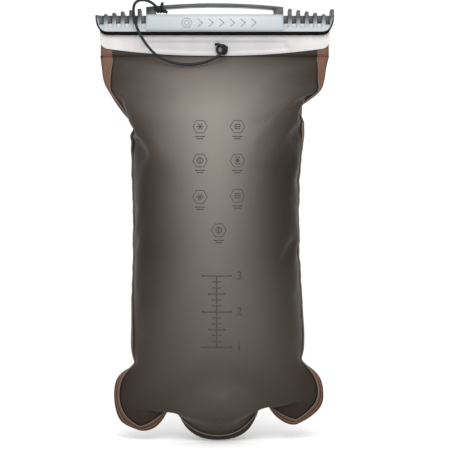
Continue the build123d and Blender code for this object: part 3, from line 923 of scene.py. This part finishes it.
# %% [markdown]
# ## The welds
#
# Where a panel meets the band, the two films are pressed together by a hot tool, and a fin a couple
# of millimetres wide stands out along the seam. Its root is the panel's own edge; the edge is
# extruded along the surface's normal, and a Solidify modifier makes it two films thick.

# %% The welds
WELD_WIDTH = 1.4 * MM


def weld_fin(side, name):
    """The welded fin round the front (-1) or back (+1) panel."""
    bm = bmesh.new()
    bm.from_mesh(whole_mesh)
    bm.normal_update()
    layer = bm.verts.layers.float_vector["flat"]

    def on_seam(vert):
        flat = Vector(vert[layer])
        to_edge = min(HALF_WIDTH - abs(flat.x), flat.z - FOOT)
        return abs(to_edge - BAND) < 0.3 and flat.y * side > 0.2

    seam = [e for e in bm.edges if on_seam(e.verts[0]) and on_seam(e.verts[1])]
    outward = {}
    copy = bmesh.ops.duplicate(bm, geom=seam + list({v for e in seam for v in e.verts}))
    for old, new in copy["vert_map"].items():
        if isinstance(new, bmesh.types.BMVert) and new in set(copy["geom"]):
            outward[new] = old.normal.copy()
    copied_edges = [g for g in copy["geom"] if isinstance(g, bmesh.types.BMEdge)]
    bmesh.ops.delete(bm, geom=bm.faces[:], context="FACES")
    kept = {v for e in copied_edges for v in e.verts}
    bmesh.ops.delete(bm, geom=[v for v in bm.verts if v not in kept], context="VERTS")
    roots = {v: (v.co.copy(), outward[v]) for v in kept}
    grown = bmesh.ops.extrude_edge_only(bm, edges=copied_edges)["geom"]
    for vert in (g for g in grown if isinstance(g, bmesh.types.BMVert)):
        root = min((e.other_vert(vert) for e in vert.link_edges), key=lambda v: v not in roots)
        place, normal = roots[root]
        taper = max(0.15, min(1.0, (TOP - 2 - place.z / MM) / 14))
        vert.co = place + normal * (WELD_WIDTH * taper)
    bmesh.ops.recalc_face_normals(bm, faces=bm.faces)
    uv_layer = bm.loops.layers.uv.new("pattern")
    for face in bm.faces:
        for loop in face.loops:
            flat = loop.vert[layer]
            loop[uv_layer].uv = (
                0.5 + flat[0] / (2 * HALF_WIDTH), (flat[2] - FOOT) / PATTERN_LENGTH
            )
    made = link_mesh(bm, name, weld_film)
    thick = made.modifiers.new("two_films", "SOLIDIFY")
    thick.thickness, thick.offset = 0.8 * MM, 0
    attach(made, "bladder")
    return made


front_weld = weld_fin(-1, "front_weld")
back_weld = weld_fin(1, "back_weld")
print("weld faces", len(front_weld.data.polygons), len(back_weld.data.polygons))

# %% [markdown]
# ## The mouth
#
# Above the blown body the two sheets lie flat on each other and run up between the stiff strips, to
# the rails that the closure bar grips. This part never swells, so it is a thin plate.

# %% The flat mouth
MOUTH_HALF, MOUTH_TOP, MOUTH_FOOT = 102.6, -15.8, -44.6
MOUTH_PANEL_HALF = 92.4  # the gusset film shows outside this


def plate(x_count, z_count, place):
    """A grid turned upright; place(u, v) gives each vertex for u from 0 to 1 and v from 0 to 1."""
    bm = bmesh.new()
    bmesh.ops.create_grid(bm, x_segments=x_count, y_segments=z_count, size=0.5)
    for vert in bm.verts:
        vert.co = Vector(place(vert.co.x + 0.5, 0.5 - vert.co.y)) * MM
    bmesh.ops.recalc_face_normals(bm, faces=bm.faces)
    return bm


bm = plate(
    40, 6, lambda u, v: ((2 * u - 1) * MOUTH_HALF, 0, MOUTH_TOP + (MOUTH_FOOT - MOUTH_TOP) * v)
)
# The mouth takes the pattern's top row, where the film material paints its shade under the strip.
uv_layer = bm.loops.layers.uv.new("pattern")
for face in bm.faces:
    for loop in face.loops:
        loop[uv_layer].uv = (0.5 + loop.vert.co.x / MM / (2 * HALF_WIDTH), 1.0)
for face in bm.faces:
    face.material_index = int(abs(face.calc_center_median().x) > MOUTH_PANEL_HALF * MM)
mouth_film = link_mesh(bm, "mouth_film", panel_film)
mouth_film.data.materials.append(gusset_film)
thick = mouth_film.modifiers.new("two_films", "SOLIDIFY")
thick.thickness, thick.offset = 0.8 * MM, 0
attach(mouth_film, "bladder")

# %% [markdown]
# ## The stiff strips
#
# A strip of clear-white plastic is welded on each side of the mouth. It keeps the mouth straight, so
# that the bar slides over it. Its lower edge is bowed, its lower corners are round, and a shallow
# panel is pressed into it. A grid is the quickest start: its rows are bent to the lower edge, and the
# vertices inside the panel are pushed back.

# %% Strip material: milky polyurethane sheet
milky_sheet, tree, shader = new_material("milky_tpu_sheet")
place = add_node(tree, "ShaderNodeTexCoord").outputs["Object"]
haze = add_node(tree, "ShaderNodeTexNoise", None, Vector=place, Scale=60.0, Detail=3.0)
parts = add_node(tree, "ShaderNodeSeparateXYZ", None, Vector=place)
from_middle = add_node(
    tree, "ShaderNodeMath", {"operation": "ABSOLUTE"}, i0=parts.outputs["X"]
).outputs[0]
# Painted light: the sheet is painted darker across its middle and lighter towards its ends.
tree.links.new(
    add_node(
        tree,
        "ShaderNodeMix",
        MIX_COLOURS,
        Factor=add_node(
            tree,
            "ShaderNodeMapRange",
            SMOOTH_STEP,
            Value=from_middle,
            From_Min=0.045,
            From_Max=0.095,
        ).outputs["Result"],
        i6=add_node(
            tree,
            "ShaderNodeValToRGB",
            stops=[(0.3, "949293"), (0.7, "9c9a9b")],
            i0=haze.outputs["Fac"],
        ).outputs["Color"],
        i7=add_node(
            tree,
            "ShaderNodeValToRGB",
            stops=[(0.3, "a5a2a1"), (0.7, "adaaa8")],
            i0=haze.outputs["Fac"],
        ).outputs["Color"],
    ).outputs[2],
    shader.inputs["Base Color"],
)
bump = add_node(
    tree, "ShaderNodeBump", None, Strength=0.15, Distance=0.0002, Height=haze.outputs["Fac"]
)
tree.links.new(bump.outputs["Normal"], shader.inputs["Normal"])
shader.inputs["Roughness"].default_value = 0.33
shader.inputs["IOR"].default_value = 1.5
shader.inputs["Subsurface Weight"].default_value = 0.15
shader.inputs["Subsurface Scale"].default_value = 0.002

# %% The stiff strips
STRIP_END, STRIP_TOP, STRIP_LOW = 103.3, -15.3, -44.2
STRIP_ROUND = 8.0
STRIP_BOW = 6.2
STRIP_BACK, STRIP_THICK = 0.5, 1.2
PRESS_DEPTH = 0.45
PRESS_TOP, PRESS_END = -30.5, 64.0


def strip_low_edge(x):
    """Height of the strip's lower edge at a place along it."""
    x = abs(x)
    straight = STRIP_END - STRIP_ROUND
    low = STRIP_LOW + STRIP_BOW * (min(x, straight) / straight) ** 2.2
    if x > straight:
        low += STRIP_ROUND * (1 - math.sqrt(max(0.0, 1 - ((x - straight) / STRIP_ROUND) ** 2)))
    return low


def strip_place(side, u, v):
    """A vertex of the strip, with its columns closer together at the round ends."""
    s = 2 * u - 1
    straight = STRIP_END - STRIP_ROUND
    if abs(s) > 0.88:
        x = straight + STRIP_ROUND * math.sin((abs(s) - 0.88) / 0.12 * math.pi / 2)
    else:
        x = abs(s) / 0.88 * straight
    x = math.copysign(x, s)
    low = strip_low_edge(x)
    z = STRIP_TOP + (low - STRIP_TOP) * v
    slope = 0.35 * (PRESS_TOP - z)
    inside = min(PRESS_TOP - z, (PRESS_END + slope) - abs(x), z - low - 2.6)
    depth = PRESS_DEPTH * max(0.0, min(1.0, inside / 1.3))
    return x, side * (STRIP_BACK + STRIP_THICK - depth), z


def stiff_strip(side, name, node):
    """The front (-1) or back (+1) strip."""
    bm = plate(150, 30, lambda u, v: strip_place(side, u, v))
    if (sum((f.normal for f in bm.faces), Vector()).y > 0) != (side > 0):
        bmesh.ops.reverse_faces(bm, faces=bm.faces)
    made = link_mesh(bm, name, milky_sheet)
    thick = made.modifiers.new("sheet_thickness", "SOLIDIFY")
    thick.thickness, thick.offset = (STRIP_THICK - PRESS_DEPTH) * MM, -1
    soft_edge = made.modifiers.new("soft_edge", "BEVEL")
    soft_edge.width, soft_edge.segments, soft_edge.limit_method = 0.25 * MM, 2, "ANGLE"
    soft_edge.angle_limit = math.radians(55)
    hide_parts(node)
    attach(made, "bladder")
    return made


front_strip = stiff_strip(-1, "front_stiff_strip", "front_strip")
stiff_strip(1, "back_stiff_strip", "back_strip")
for node in ("front_rail", "back_rail"):
    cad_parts[node].data.materials.clear()
    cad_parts[node].data.materials.append(milky_sheet)
print("strip vertices", len(front_strip.data.vertices))

# %% [markdown]
# ## The closure bar
#
# The bar is moulded in smoked polycarbonate. Its colour is painted by place: pale on the lower face
# and ribs; painted shade in the pockets between the ribs, at the ends of the arch and along the lower
# edge;
# the rib tops and the arch dark, partly the deeper tint of thicker plastic and partly painted shade.
# The
# CAD shape is right but its edges are knife sharp, and a moulded part never is. Its triangles are
# merged on a copy, and a Bevel modifier rounds every real edge.

# %% Bar material: smoked polycarbonate
smoked_polycarbonate, tree, shader = new_material("smoked_polycarbonate")
place = add_node(tree, "ShaderNodeTexCoord").outputs["Object"]
parts = add_node(tree, "ShaderNodeSeparateXYZ", None, Vector=place)
x_mm = add_node(
    tree,
    "ShaderNodeMath",
    {"operation": "MULTIPLY"},
    i0=add_node(tree, "ShaderNodeMath", {"operation": "ABSOLUTE"}, i0=parts.outputs["X"]).outputs[0],
    i1=1000.0,
).outputs[0]
y_mm = add_node(
    tree,
    "ShaderNodeMath",
    {"operation": "MULTIPLY"},
    i0=add_node(tree, "ShaderNodeMath", {"operation": "ABSOLUTE"}, i0=parts.outputs["Y"]).outputs[0],
    i1=1000.0,
).outputs[0]
z_mm = add_node(
    tree, "ShaderNodeMath", {"operation": "MULTIPLY"}, i0=parts.outputs["Z"], i1=1000.0
).outputs[0]


streaks = add_node(tree, "ShaderNodeTexNoise", None, Vector=place, Scale=90.0, Detail=3.0)
# Ribs: pale low down and dark at the tops, partly the deeper tint of thicker plastic and partly
# painted shade.
rib_colour = add_node(
    tree,
    "ShaderNodeValToRGB",
    stops=[
        (0.08, "90969a"),
        (0.34, "868c90"),
        (0.46, "5a6165"),
        (0.62, "171b1d"),
        (1.0, "0c0e0f"),
    ],
    i0=add_node(
        tree,
        "ShaderNodeMath",
        {"operation": "DIVIDE"},
        i0=add_node(tree, "ShaderNodeMath", {"operation": "ADD"}, i0=z_mm, i1=26.0).outputs[0],
        i1=26.0,
    ).outputs[0],
).outputs["Color"]
# Face: pale, and dark in the slot and on the arch above it, as painted shade; on the arch this is
# partly the deeper tint of thicker plastic.
face_colour = add_node(
    tree,
    "ShaderNodeValToRGB",
    stops=[
        (0.1, "858b8f"),
        (0.3, "959b9f"),
        (0.6, "9a9fa2"),
        (0.69, "878d90"),
        (0.73, "1d2220"),
        (1.0, "1b201e"),
    ],
    i0=add_node(
        tree,
        "ShaderNodeMath",
        {"operation": "DIVIDE"},
        i0=add_node(tree, "ShaderNodeMath", {"operation": "ADD"}, i0=z_mm, i1=26.0).outputs[0],
        i1=26.0,
    ).outputs[0],
).outputs["Color"]
on_face = add_node(
    tree, "ShaderNodeMapRange", SMOOTH_STEP, Value=x_mm, From_Min=66.0, From_Max=58.0
).outputs["Result"]
# Painted shade at the two ends of the arch, where its underside is in shadow.
arch_end_shade = add_node(
    tree,
    "ShaderNodeMath",
    {"operation": "MULTIPLY"},
    i0=add_node(
        tree, "ShaderNodeMapRange", SMOOTH_STEP, Value=x_mm, From_Min=15.0, From_Max=48.0
    ).outputs["Result"],
    i1=add_node(
        tree, "ShaderNodeMapRange", SMOOTH_STEP, Value=z_mm, From_Min=-7.4, From_Max=-6.0
    ).outputs["Result"],
).outputs[0]
face_colour = add_node(
    tree, "ShaderNodeMix", MIX_COLOURS, Factor=arch_end_shade, i6=face_colour, i7="090b0b"
).outputs[2]
body_colour = add_node(
    tree, "ShaderNodeMix", MIX_COLOURS, Factor=on_face, i6=rib_colour, i7=face_colour
).outputs[2]
# Painted shade in the pockets between the ribs, which are set back.
pocket_shade = add_node(
    tree,
    "ShaderNodeMath",
    {"operation": "MULTIPLY"},
    i0=add_node(tree, "ShaderNodeMath", {"operation": "LESS_THAN"}, i0=y_mm, i1=4.7).outputs[0],
    i1=add_node(
        tree,
        "ShaderNodeMath",
        {"operation": "MULTIPLY"},
        i0=add_node(
            tree, "ShaderNodeMapRange", SMOOTH_STEP, Value=x_mm, From_Min=60.0, From_Max=62.0
        ).outputs["Result"],
        i1=add_node(
            tree, "ShaderNodeMapRange", SMOOTH_STEP, Value=z_mm, From_Min=-15.6, From_Max=-15.0
        ).outputs["Result"],
    ).outputs[0],
).outputs[0]
body_colour = add_node(
    tree, "ShaderNodeMix", MIX_COLOURS, Factor=pocket_shade, i6=body_colour, i7="05080a"
).outputs[2]
# Painted shade along the bar's lower edge, sweeping up round both ends.
tip = add_node(
    tree,
    "ShaderNodeMath",
    {"operation": "DIVIDE"},
    i0=add_node(tree, "ShaderNodeMath", {"operation": "SUBTRACT"}, i0=x_mm, i1=88.8).outputs[0],
    i1=18.0,
).outputs[0]
tip = add_node(tree, "ShaderNodeMath", {"operation": "MAXIMUM"}, i0=tip, i1=0.0).outputs[0]
rim_height = add_node(
    tree,
    "ShaderNodeMath",
    {"operation": "MULTIPLY_ADD"},
    i0=add_node(tree, "ShaderNodeMath", {"operation": "POWER"}, i0=tip, i1=6.0).outputs[0],
    i1=17.2,
    i2=-23.3,
).outputs[0]
above_rim = add_node(
    tree, "ShaderNodeMath", {"operation": "SUBTRACT"}, i0=z_mm, i1=rim_height
).outputs[0]
lower_edge_shade = add_node(
    tree, "ShaderNodeMapRange", SMOOTH_STEP, Value=above_rim, From_Min=0.35, From_Max=-0.35
).outputs["Result"]
body_colour = add_node(
    tree, "ShaderNodeMix", MIX_COLOURS, Factor=lower_edge_shade, i6=body_colour, i7="0f1012"
).outputs[2]
mottled = add_node(
    tree,
    "ShaderNodeMix",
    MIX_COLOURS,
    Factor=add_node(
        tree, "ShaderNodeMath", {"operation": "MULTIPLY"}, i0=streaks.outputs["Fac"], i1=0.05
    ).outputs[0],
    i6=body_colour,
    i7="ffffff",
).outputs[2]
tree.links.new(mottled, shader.inputs["Base Color"])
fine_grain = add_node(tree, "ShaderNodeTexNoise", None, Vector=place, Scale=1500.0)
bump = add_node(
    tree, "ShaderNodeBump", None, Strength=0.12, Distance=0.00005, Height=fine_grain.outputs["Fac"]
)
tree.links.new(bump.outputs["Normal"], shader.inputs["Normal"])
shader.inputs["Roughness"].default_value = 0.3
shader.inputs["IOR"].default_value = 1.585
shader.inputs["Specular IOR Level"].default_value = 0.16


# %% A moulded copy of a CAD part
def moulded(node, name, material, radius, body, angle=32):
    """A CAD node's shape with every sharp edge rounded by radius; it stands for that node."""
    bm = bmesh.new()
    bm.from_mesh(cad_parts[node].data)
    bmesh.ops.remove_doubles(bm, verts=bm.verts, dist=0.002 * MM)
    bmesh.ops.dissolve_limit(
        bm, angle_limit=math.radians(1.5), verts=bm.verts, edges=bm.edges
    )
    made = link_mesh(bm, name, material)
    rounding = made.modifiers.new("moulded_edges", "BEVEL")
    rounding.width, rounding.segments = radius, 2
    rounding.limit_method, rounding.angle_limit = "ANGLE", math.radians(angle)
    rounding.harden_normals = True
    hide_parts(node)
    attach(made, body)
    print(name, len(made.data.polygons), "faces")
    return made


moulded(
    "slide_closure", "closure_bar", smoked_polycarbonate, 0.35 * MM, "closure"
)

# %% Moulded plastics
def plastic(name, colours, roughness, scale, ior=1.48):
    """A moulded plastic with a fine spark-eroded texture."""
    material, tree, shader = new_material(name)
    place = add_node(tree, "ShaderNodeTexCoord").outputs["Object"]
    grain = add_node(tree, "ShaderNodeTexNoise", None, Vector=place, Scale=scale, Detail=4.0)
    tree.links.new(
        add_node(
            tree,
            "ShaderNodeValToRGB",
            stops=[(0.3, colours[0]), (0.7, colours[1])],
            i0=grain.outputs["Fac"],
        ).outputs["Color"],
        shader.inputs["Base Color"],
    )
    bump = add_node(
        tree, "ShaderNodeBump", None, Strength=0.3, Distance=0.00006, Height=grain.outputs["Fac"]
    )
    tree.links.new(bump.outputs["Normal"], shader.inputs["Normal"])
    shader.inputs["Roughness"].default_value = roughness
    shader.inputs["IOR"].default_value = ior
    return material


# %% [markdown]
# ## The mark on the bar
#
# The smooth face carries a raised mark that shows which way the bar slides off: a hexagon and a row
# of chevrons. Each one is drawn flat from bars, then lies a fifth of a millimetre proud of the face.


# %% Flat drawing tools
def stand_up(bm, verts, x, z, turn=0.0):
    """Turn flat XY geometry upright into XZ and move it to a place."""
    c, s = math.cos(turn), math.sin(turn)
    for vert in verts:
        a, b = vert.co.x, vert.co.y
        vert.co = Vector((x + a * c - b * s, 0, z + a * s + b * c))


def outline_shape(bm, x, z, radius, sides, width, turn=0.0):
    """A regular polygon's outline: a ring extruded inwards."""
    outer = bmesh.ops.create_circle(bm, segments=sides, radius=radius)["verts"]
    outer.sort(key=lambda v: math.atan2(v.co.y, v.co.x))
    inner = extrude_ring(bm, outer)
    for vert in inner:
        vert.co *= 1 - width / radius
    stand_up(bm, outer + inner, x, z, turn)


def bar_shape(bm, x, z, width, height, turn=0.0, parts=1):
    """A filled bar."""
    columns = max(1, round(width / 3))
    verts = bmesh.ops.create_grid(bm, x_segments=columns, y_segments=parts, size=0.5)["verts"]
    for vert in verts:
        vert.co = Vector((vert.co.x * width, vert.co.y * height, 0))
    stand_up(bm, verts, x, z, turn)


def disc_shape(bm, x, z, radius, sides=12):
    """A filled disc."""
    verts = bmesh.ops.create_circle(bm, cap_ends=True, segments=sides, radius=radius)["verts"]
    stand_up(bm, verts, x, z)


# %% The raised mark
FACE_Y, MARK_PROUD, MARK_Z = 7.5, 0.22, -15.2
CHEVRONS, CHEVRON_PITCH, CHEVRON_ARM = 6, 9.6, 5.2
raised_grey = plastic("moulded_mark_grey", ("7d8387", "858b8f"), 0.35, 1500.0, 1.585)
drawing = bmesh.new()
outline_shape(drawing, -25.0, MARK_Z, 5.0, 6, 0.8, turn=math.pi / 6)
outline_shape(drawing, -25.0, MARK_Z, 2.6, 6, 0.7, turn=math.pi / 6)
for number in range(CHEVRONS):
    for lean in (-1, 1):
        bar_shape(
            drawing,
            -13.0 + number * CHEVRON_PITCH,
            MARK_Z + lean * CHEVRON_ARM * 0.33,
            CHEVRON_ARM,
            0.8,
            turn=-lean * math.radians(40),
        )
for vert in drawing.verts:
    vert.co = Vector((vert.co.x, -FACE_Y, vert.co.z)) * MM
for face in drawing.faces:
    if face.normal.y > 0:
        face.normal_flip()
slide_mark = link_mesh(drawing, "slide_mark", raised_grey)
raised = slide_mark.modifiers.new("raised", "SOLIDIFY")
raised.thickness, raised.offset = MARK_PROUD * MM, 1
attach(slide_mark, "closure")

# %% [markdown]
# ## The bar's black lip
#
# A black lip runs along the bar's lower edge and sweeps up round both ends: a black strip that stands
# for painted shade on the bar's lower edge. It is made from a grid: one direction follows the edge,
# the other goes round a small J-shaped section, from the front face down and under. The same grid
# mirrored gives the lip at the back.

# %% Lip material: black, for painted shade on the bar's lower edge
lip_shade_black = plastic("painted_shade_black_lip", ("020203", "050506"), 0.55, 1500.0, 1.45)
lip_shade_black.node_tree.nodes["Principled BSDF"].inputs["Specular IOR Level"].default_value = 0.06

# %% The bar's black lip
BAR_END, BAR_LOW, BAR_FACE, SWEEP, SWEEP_RISE = 106.9, -25.75, 6.5, 18.0, 16.0
LIP_SECTION = [(0.0, 2.7), (0.16, 2.5), (0.16, 1.5), (-0.1, 0.7), (-0.7, 0.15), (-1.6, -0.06),
               (-2.6, -0.1), (-2.7, 0.1)]


def lip_place(side, u, v):
    """A vertex of the lip."""
    x = (2 * u - 1) * BAR_END
    along = max(0.0, (abs(x) - (BAR_END - SWEEP)) / SWEEP)
    low = BAR_LOW + SWEEP_RISE * along**6
    proud, height = LIP_SECTION[round(v * (len(LIP_SECTION) - 1))]
    narrow = 1 - 0.45 * along**6
    return x, side * (BAR_FACE + proud), low + height * narrow


for side, name in ((-1, "bar_lip_front"), (1, "bar_lip_back")):
    bm = plate(180, len(LIP_SECTION) - 1, lambda u, v: lip_place(side, u, v))
    outer_face = max(bm.faces, key=lambda f: side * f.calc_center_median().y)
    if outer_face.normal.y * side < 0:
        bmesh.ops.reverse_faces(bm, faces=bm.faces)
    lip = link_mesh(bm, name, lip_shade_black)
    thick = lip.modifiers.new("lip_thickness", "SOLIDIFY")
    thick.thickness, thick.offset = 0.3 * MM, -1
    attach(lip, "closure")

# %% [markdown]
# ## The drinking port
#
# The port at the back is a quick connector: a white flange welded to the film, a black socket and
# cap, and a blue-grey latch that lets the hose go. Its parts are moulded polypropylene and acetal; the
# flange, the cap and the latch plate get rounded edges. The springs are stainless steel and the seal
# is silicone rubber.


# %% Port materials: acetal, steel and silicone
white_flange = plastic("moulded_tpu_flange", ("b9b5b1", "c8c4c0"), 0.45, 700.0, 1.5)
black_acetal = plastic("moulded_acetal_black", ("17191a", "212426"), 0.42, 1200.0)
grey_acetal = plastic("moulded_acetal_grey", ("54616b", "5f6d77"), 0.4, 1200.0)
white_acetal = plastic("moulded_acetal_white", ("cfcfcb", "dcdcd8"), 0.4, 1200.0)
silicone_seal = plastic("silicone_seal", ("7a2f25", "8a382c"), 0.5, 900.0, 1.41)
spring_steel, tree, shader = new_material("stainless_spring_wire")
drawn = add_node(
    tree,
    "ShaderNodeTexNoise",
    None,
    Vector=add_node(tree, "ShaderNodeTexCoord").outputs["Object"],
    Scale=3000.0,
)
tree.links.new(
    add_node(
        tree,
        "ShaderNodeValToRGB",
        stops=[(0.3, "9a9a98"), (0.7, "b4b4b2")],
        i0=drawn.outputs["Fac"],
    ).outputs["Color"],
    shader.inputs["Base Color"],
)
shader.inputs["Metallic"].default_value = 1.0
shader.inputs["Roughness"].default_value = 0.3

# %% The port's parts
moulded("port_flange", "port_flange_disc", white_flange, 0.5 * MM, "bladder")
moulded("port_cap", "port_cap_ring", black_acetal, 0.3 * MM, "bladder")
moulded("latch_button", "latch_plate", grey_acetal, 0.3 * MM, "latch")
for node, material in (
    ("port_socket", black_acetal),
    ("spring_cage", white_acetal),
    ("valve_poppet", white_acetal),
    ("poppet_o_ring", silicone_seal),
    ("latch_spring", spring_steel),
    ("poppet_spring", spring_steel),
):
    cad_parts[node].data.materials.clear()
    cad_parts[node].data.materials.append(material)

# %% [markdown]
# The two springs shorten as the button is pressed and as the poppet opens. Here each spring's box is
# measured and it gets its own copy of its mesh.

# %% Springs
for node, joint, axis, travel in (
    ("latch_spring", "latch_press", Vector((0, 0, 1)), 1.2 * MM),
    ("poppet_spring", "valve_open", Vector((0, 1, 0)), 3.0 * MM),
):
    low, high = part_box(node)
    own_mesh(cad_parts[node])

# %% [markdown]
# ## The printed marks
#
# Dark grey pictograms and a scale of litres are screen printed on the front film. Ink lies on the
# surface, so each mark is drawn flat, cut fine enough to bend, and every vertex is moved straight back
# until it is a hair's breadth in front of the film.

# %% Ink material
screen_ink = plastic("screen_ink_grey", ("24201d", "2c2825"), 0.5, 2500.0)

# %% Printing on the film
INK_STAND_OFF = 0.12 * MM

front_surface = bmesh.new()
front_surface.from_mesh(front_film.data)
film_tree = BVHTree.FromBMesh(front_surface)


def print_on_film(bm, name):
    """Lay a flat drawing in the XZ plane, in millimetres, onto the front film."""
    for vert in bm.verts:
        start = Vector((vert.co.x * MM, -0.3, vert.co.z * MM))
        hit = film_tree.ray_cast(start, Vector((0, 1, 0)))[0]
        vert.co = Vector((start.x, hit.y - INK_STAND_OFF, start.z))
    if sum((f.normal for f in bm.faces), Vector()).y > 0:
        bmesh.ops.reverse_faces(bm, faces=bm.faces)
    made = link_mesh(bm, name, screen_ink)
    coat = made.modifiers.new("ink_coat", "SOLIDIFY")
    coat.thickness, coat.offset = 0.06 * MM, 1
    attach(made, "bladder")
    return made


# %% Care pictograms
ICON_RADIUS, ICON_LINE = 6.6, 0.55
ICON_PLACES = [
    (-12.4, -110.7), (20.0, -110.7), (-12.4, -140.4), (20.0, -140.4), (-12.4, -171.9),
    (20.0, -171.0), (3.8, -200.7),
]
drawing = bmesh.new()
for number, (x, z) in enumerate(ICON_PLACES):
    outline_shape(drawing, x, z, ICON_RADIUS, 6, ICON_LINE, turn=math.pi / 6)
    if number % 4 == 0:  # a snow star: keep cold
        for k in range(3):
            bar_shape(drawing, x, z, 6.0, 0.6, turn=k * math.pi / 3)
    elif number % 4 == 1:  # waves: rinse
        for k in (-1, 0, 1):
            bar_shape(drawing, x, z + 1.8 * k, 5.6 - abs(k), 0.7)
    elif number % 4 == 2:  # an open ring: turn inside out to dry
        outline_shape(drawing, x, z, 2.9, 12, 0.7)
        bar_shape(drawing, x, z, 0.7, 5.6)
    else:  # a filled dot between two bars: do not squeeze
        disc_shape(drawing, x, z, 1.6)
        bar_shape(drawing, x, z + 2.9, 4.6, 0.6)
        bar_shape(drawing, x, z - 2.9, 4.6, 0.6)
    for row, width in enumerate((8.5, 5.5)):
        bar_shape(drawing, x, z - 8.8 - 1.9 * row, width, 0.7)
print_on_film(drawing, "printed_icons")

# %% The litre scale
SCALE_X, SCALE_TOP, SCALE_FOOT = 2.0, -240.0, -302.0
drawing = bmesh.new()
bar_shape(drawing, SCALE_X, (SCALE_TOP + SCALE_FOOT) / 2, 1.0, SCALE_TOP - SCALE_FOOT, parts=24)
TICKS = 12
for tick in range(TICKS + 1):
    z = SCALE_TOP + (SCALE_FOOT - SCALE_TOP) * tick / TICKS
    width = 26.0 if tick % 6 == 0 else 15.0 if tick % 3 == 0 else 8.0
    bar_shape(drawing, SCALE_X, z, width, 1.1 if tick % 3 == 0 else 0.7)
print_on_film(drawing, "printed_scale")


def printed_number(text, x, z, height, name):
    """A number printed on the film."""
    curve = bpy.data.curves.new(name, "FONT")
    curve.body, curve.size = text, height
    curve.align_x, curve.align_y = "CENTER", "CENTER"
    holder = bpy.data.objects.new(name, curve)
    scene.collection.objects.link(holder)
    bpy.context.view_layer.update()
    letters = bpy.data.meshes.new_from_object(holder)
    bpy.data.objects.remove(holder)
    bm = bmesh.new()
    bm.from_mesh(letters)
    bmesh.ops.triangulate(bm, faces=bm.faces)
    for vert in bm.verts:
        vert.co = Vector((x + vert.co.x, 0, z + vert.co.y))
    return print_on_film(bm, name)


for text, z in (("3", SCALE_TOP), ("2", (SCALE_TOP + SCALE_FOOT) / 2), ("1", SCALE_FOOT)):
    printed_number(text, SCALE_X + 19.5, z, 10.0, "printed_number_" + text)

drawing = bmesh.new()
outline_shape(drawing, 4.5, -371.0, 2.6, 12, 0.7)
for row, width in enumerate((9.0, 7.0)):
    bar_shape(drawing, 4.5, -375.6 - 1.7 * row, width, 0.7)
print_on_film(drawing, "printed_foot_mark")
front_surface.free()
print("printed marks made")

# %% [markdown]
# ## Floor and light
#
# The floor is a plain pale sheet just under the bladder, under a white studio sky. One large soft
# light hangs in front and above. The broad pale streak down the middle of the film and its darker
# sides, which show that the bladder is round, are mostly painted highlight and painted shade in the
# film's colour; the light adds a soft gloss to them.

# %% Floor
paper_white, tree, shader = new_material("paper_white")
paper = add_node(
    tree,
    "ShaderNodeTexNoise",
    None,
    Vector=add_node(tree, "ShaderNodeTexCoord").outputs["Object"],
    Scale=25.0,
)
tree.links.new(
    add_node(
        tree,
        "ShaderNodeValToRGB",
        stops=[(0.3, "fafafa"), (0.7, "fdfdfd")],
        i0=paper.outputs["Fac"],
    ).outputs["Color"],
    shader.inputs["Base Color"],
)
shader.inputs["Roughness"].default_value = 0.9
FLOOR_GAP = 0.1 * MM
bm = bmesh.new()
bmesh.ops.create_grid(bm, x_segments=4, y_segments=4, size=4.0)
for vert in bm.verts:
    vert.co.z = cad_box[0][2] - FLOOR_GAP
floor = link_mesh(bm, "floor", paper_white)

# %% Light
world = bpy.data.worlds.new("studio")
scene.world = world
world.use_nodes = True
world.node_tree.nodes["Background"].inputs["Color"].default_value = linear("ffffff")
world.node_tree.nodes["Background"].inputs["Strength"].default_value = 1.06


def soft_light(name, place, aim, size, power):
    """A rectangular soft light looking at a point; places in metres, power in watts."""
    data = bpy.data.lights.new(name, "AREA")
    data.shape = "RECTANGLE"
    data.size, data.size_y = size
    data.energy = power
    lamp = bpy.data.objects.new(name, data)
    lamp.location = place
    lamp.rotation_euler = (Vector(aim) - Vector(place)).to_track_quat("-Z", "Y").to_euler()
    scene.collection.objects.link(lamp)
    return lamp


soft_light("front_softbox", (0.02, -1.0, 0.45), (0, 0, -0.17), (0.7, 0.8), 12.0)
print("stage and light ready")

# %% [markdown]
# ## Sizes
#
# The CAD model's box is printed, in millimetres.

# %% Sizes
print("cad box", [[round(v * 1000, 1) for v in c] for c in cad_box])
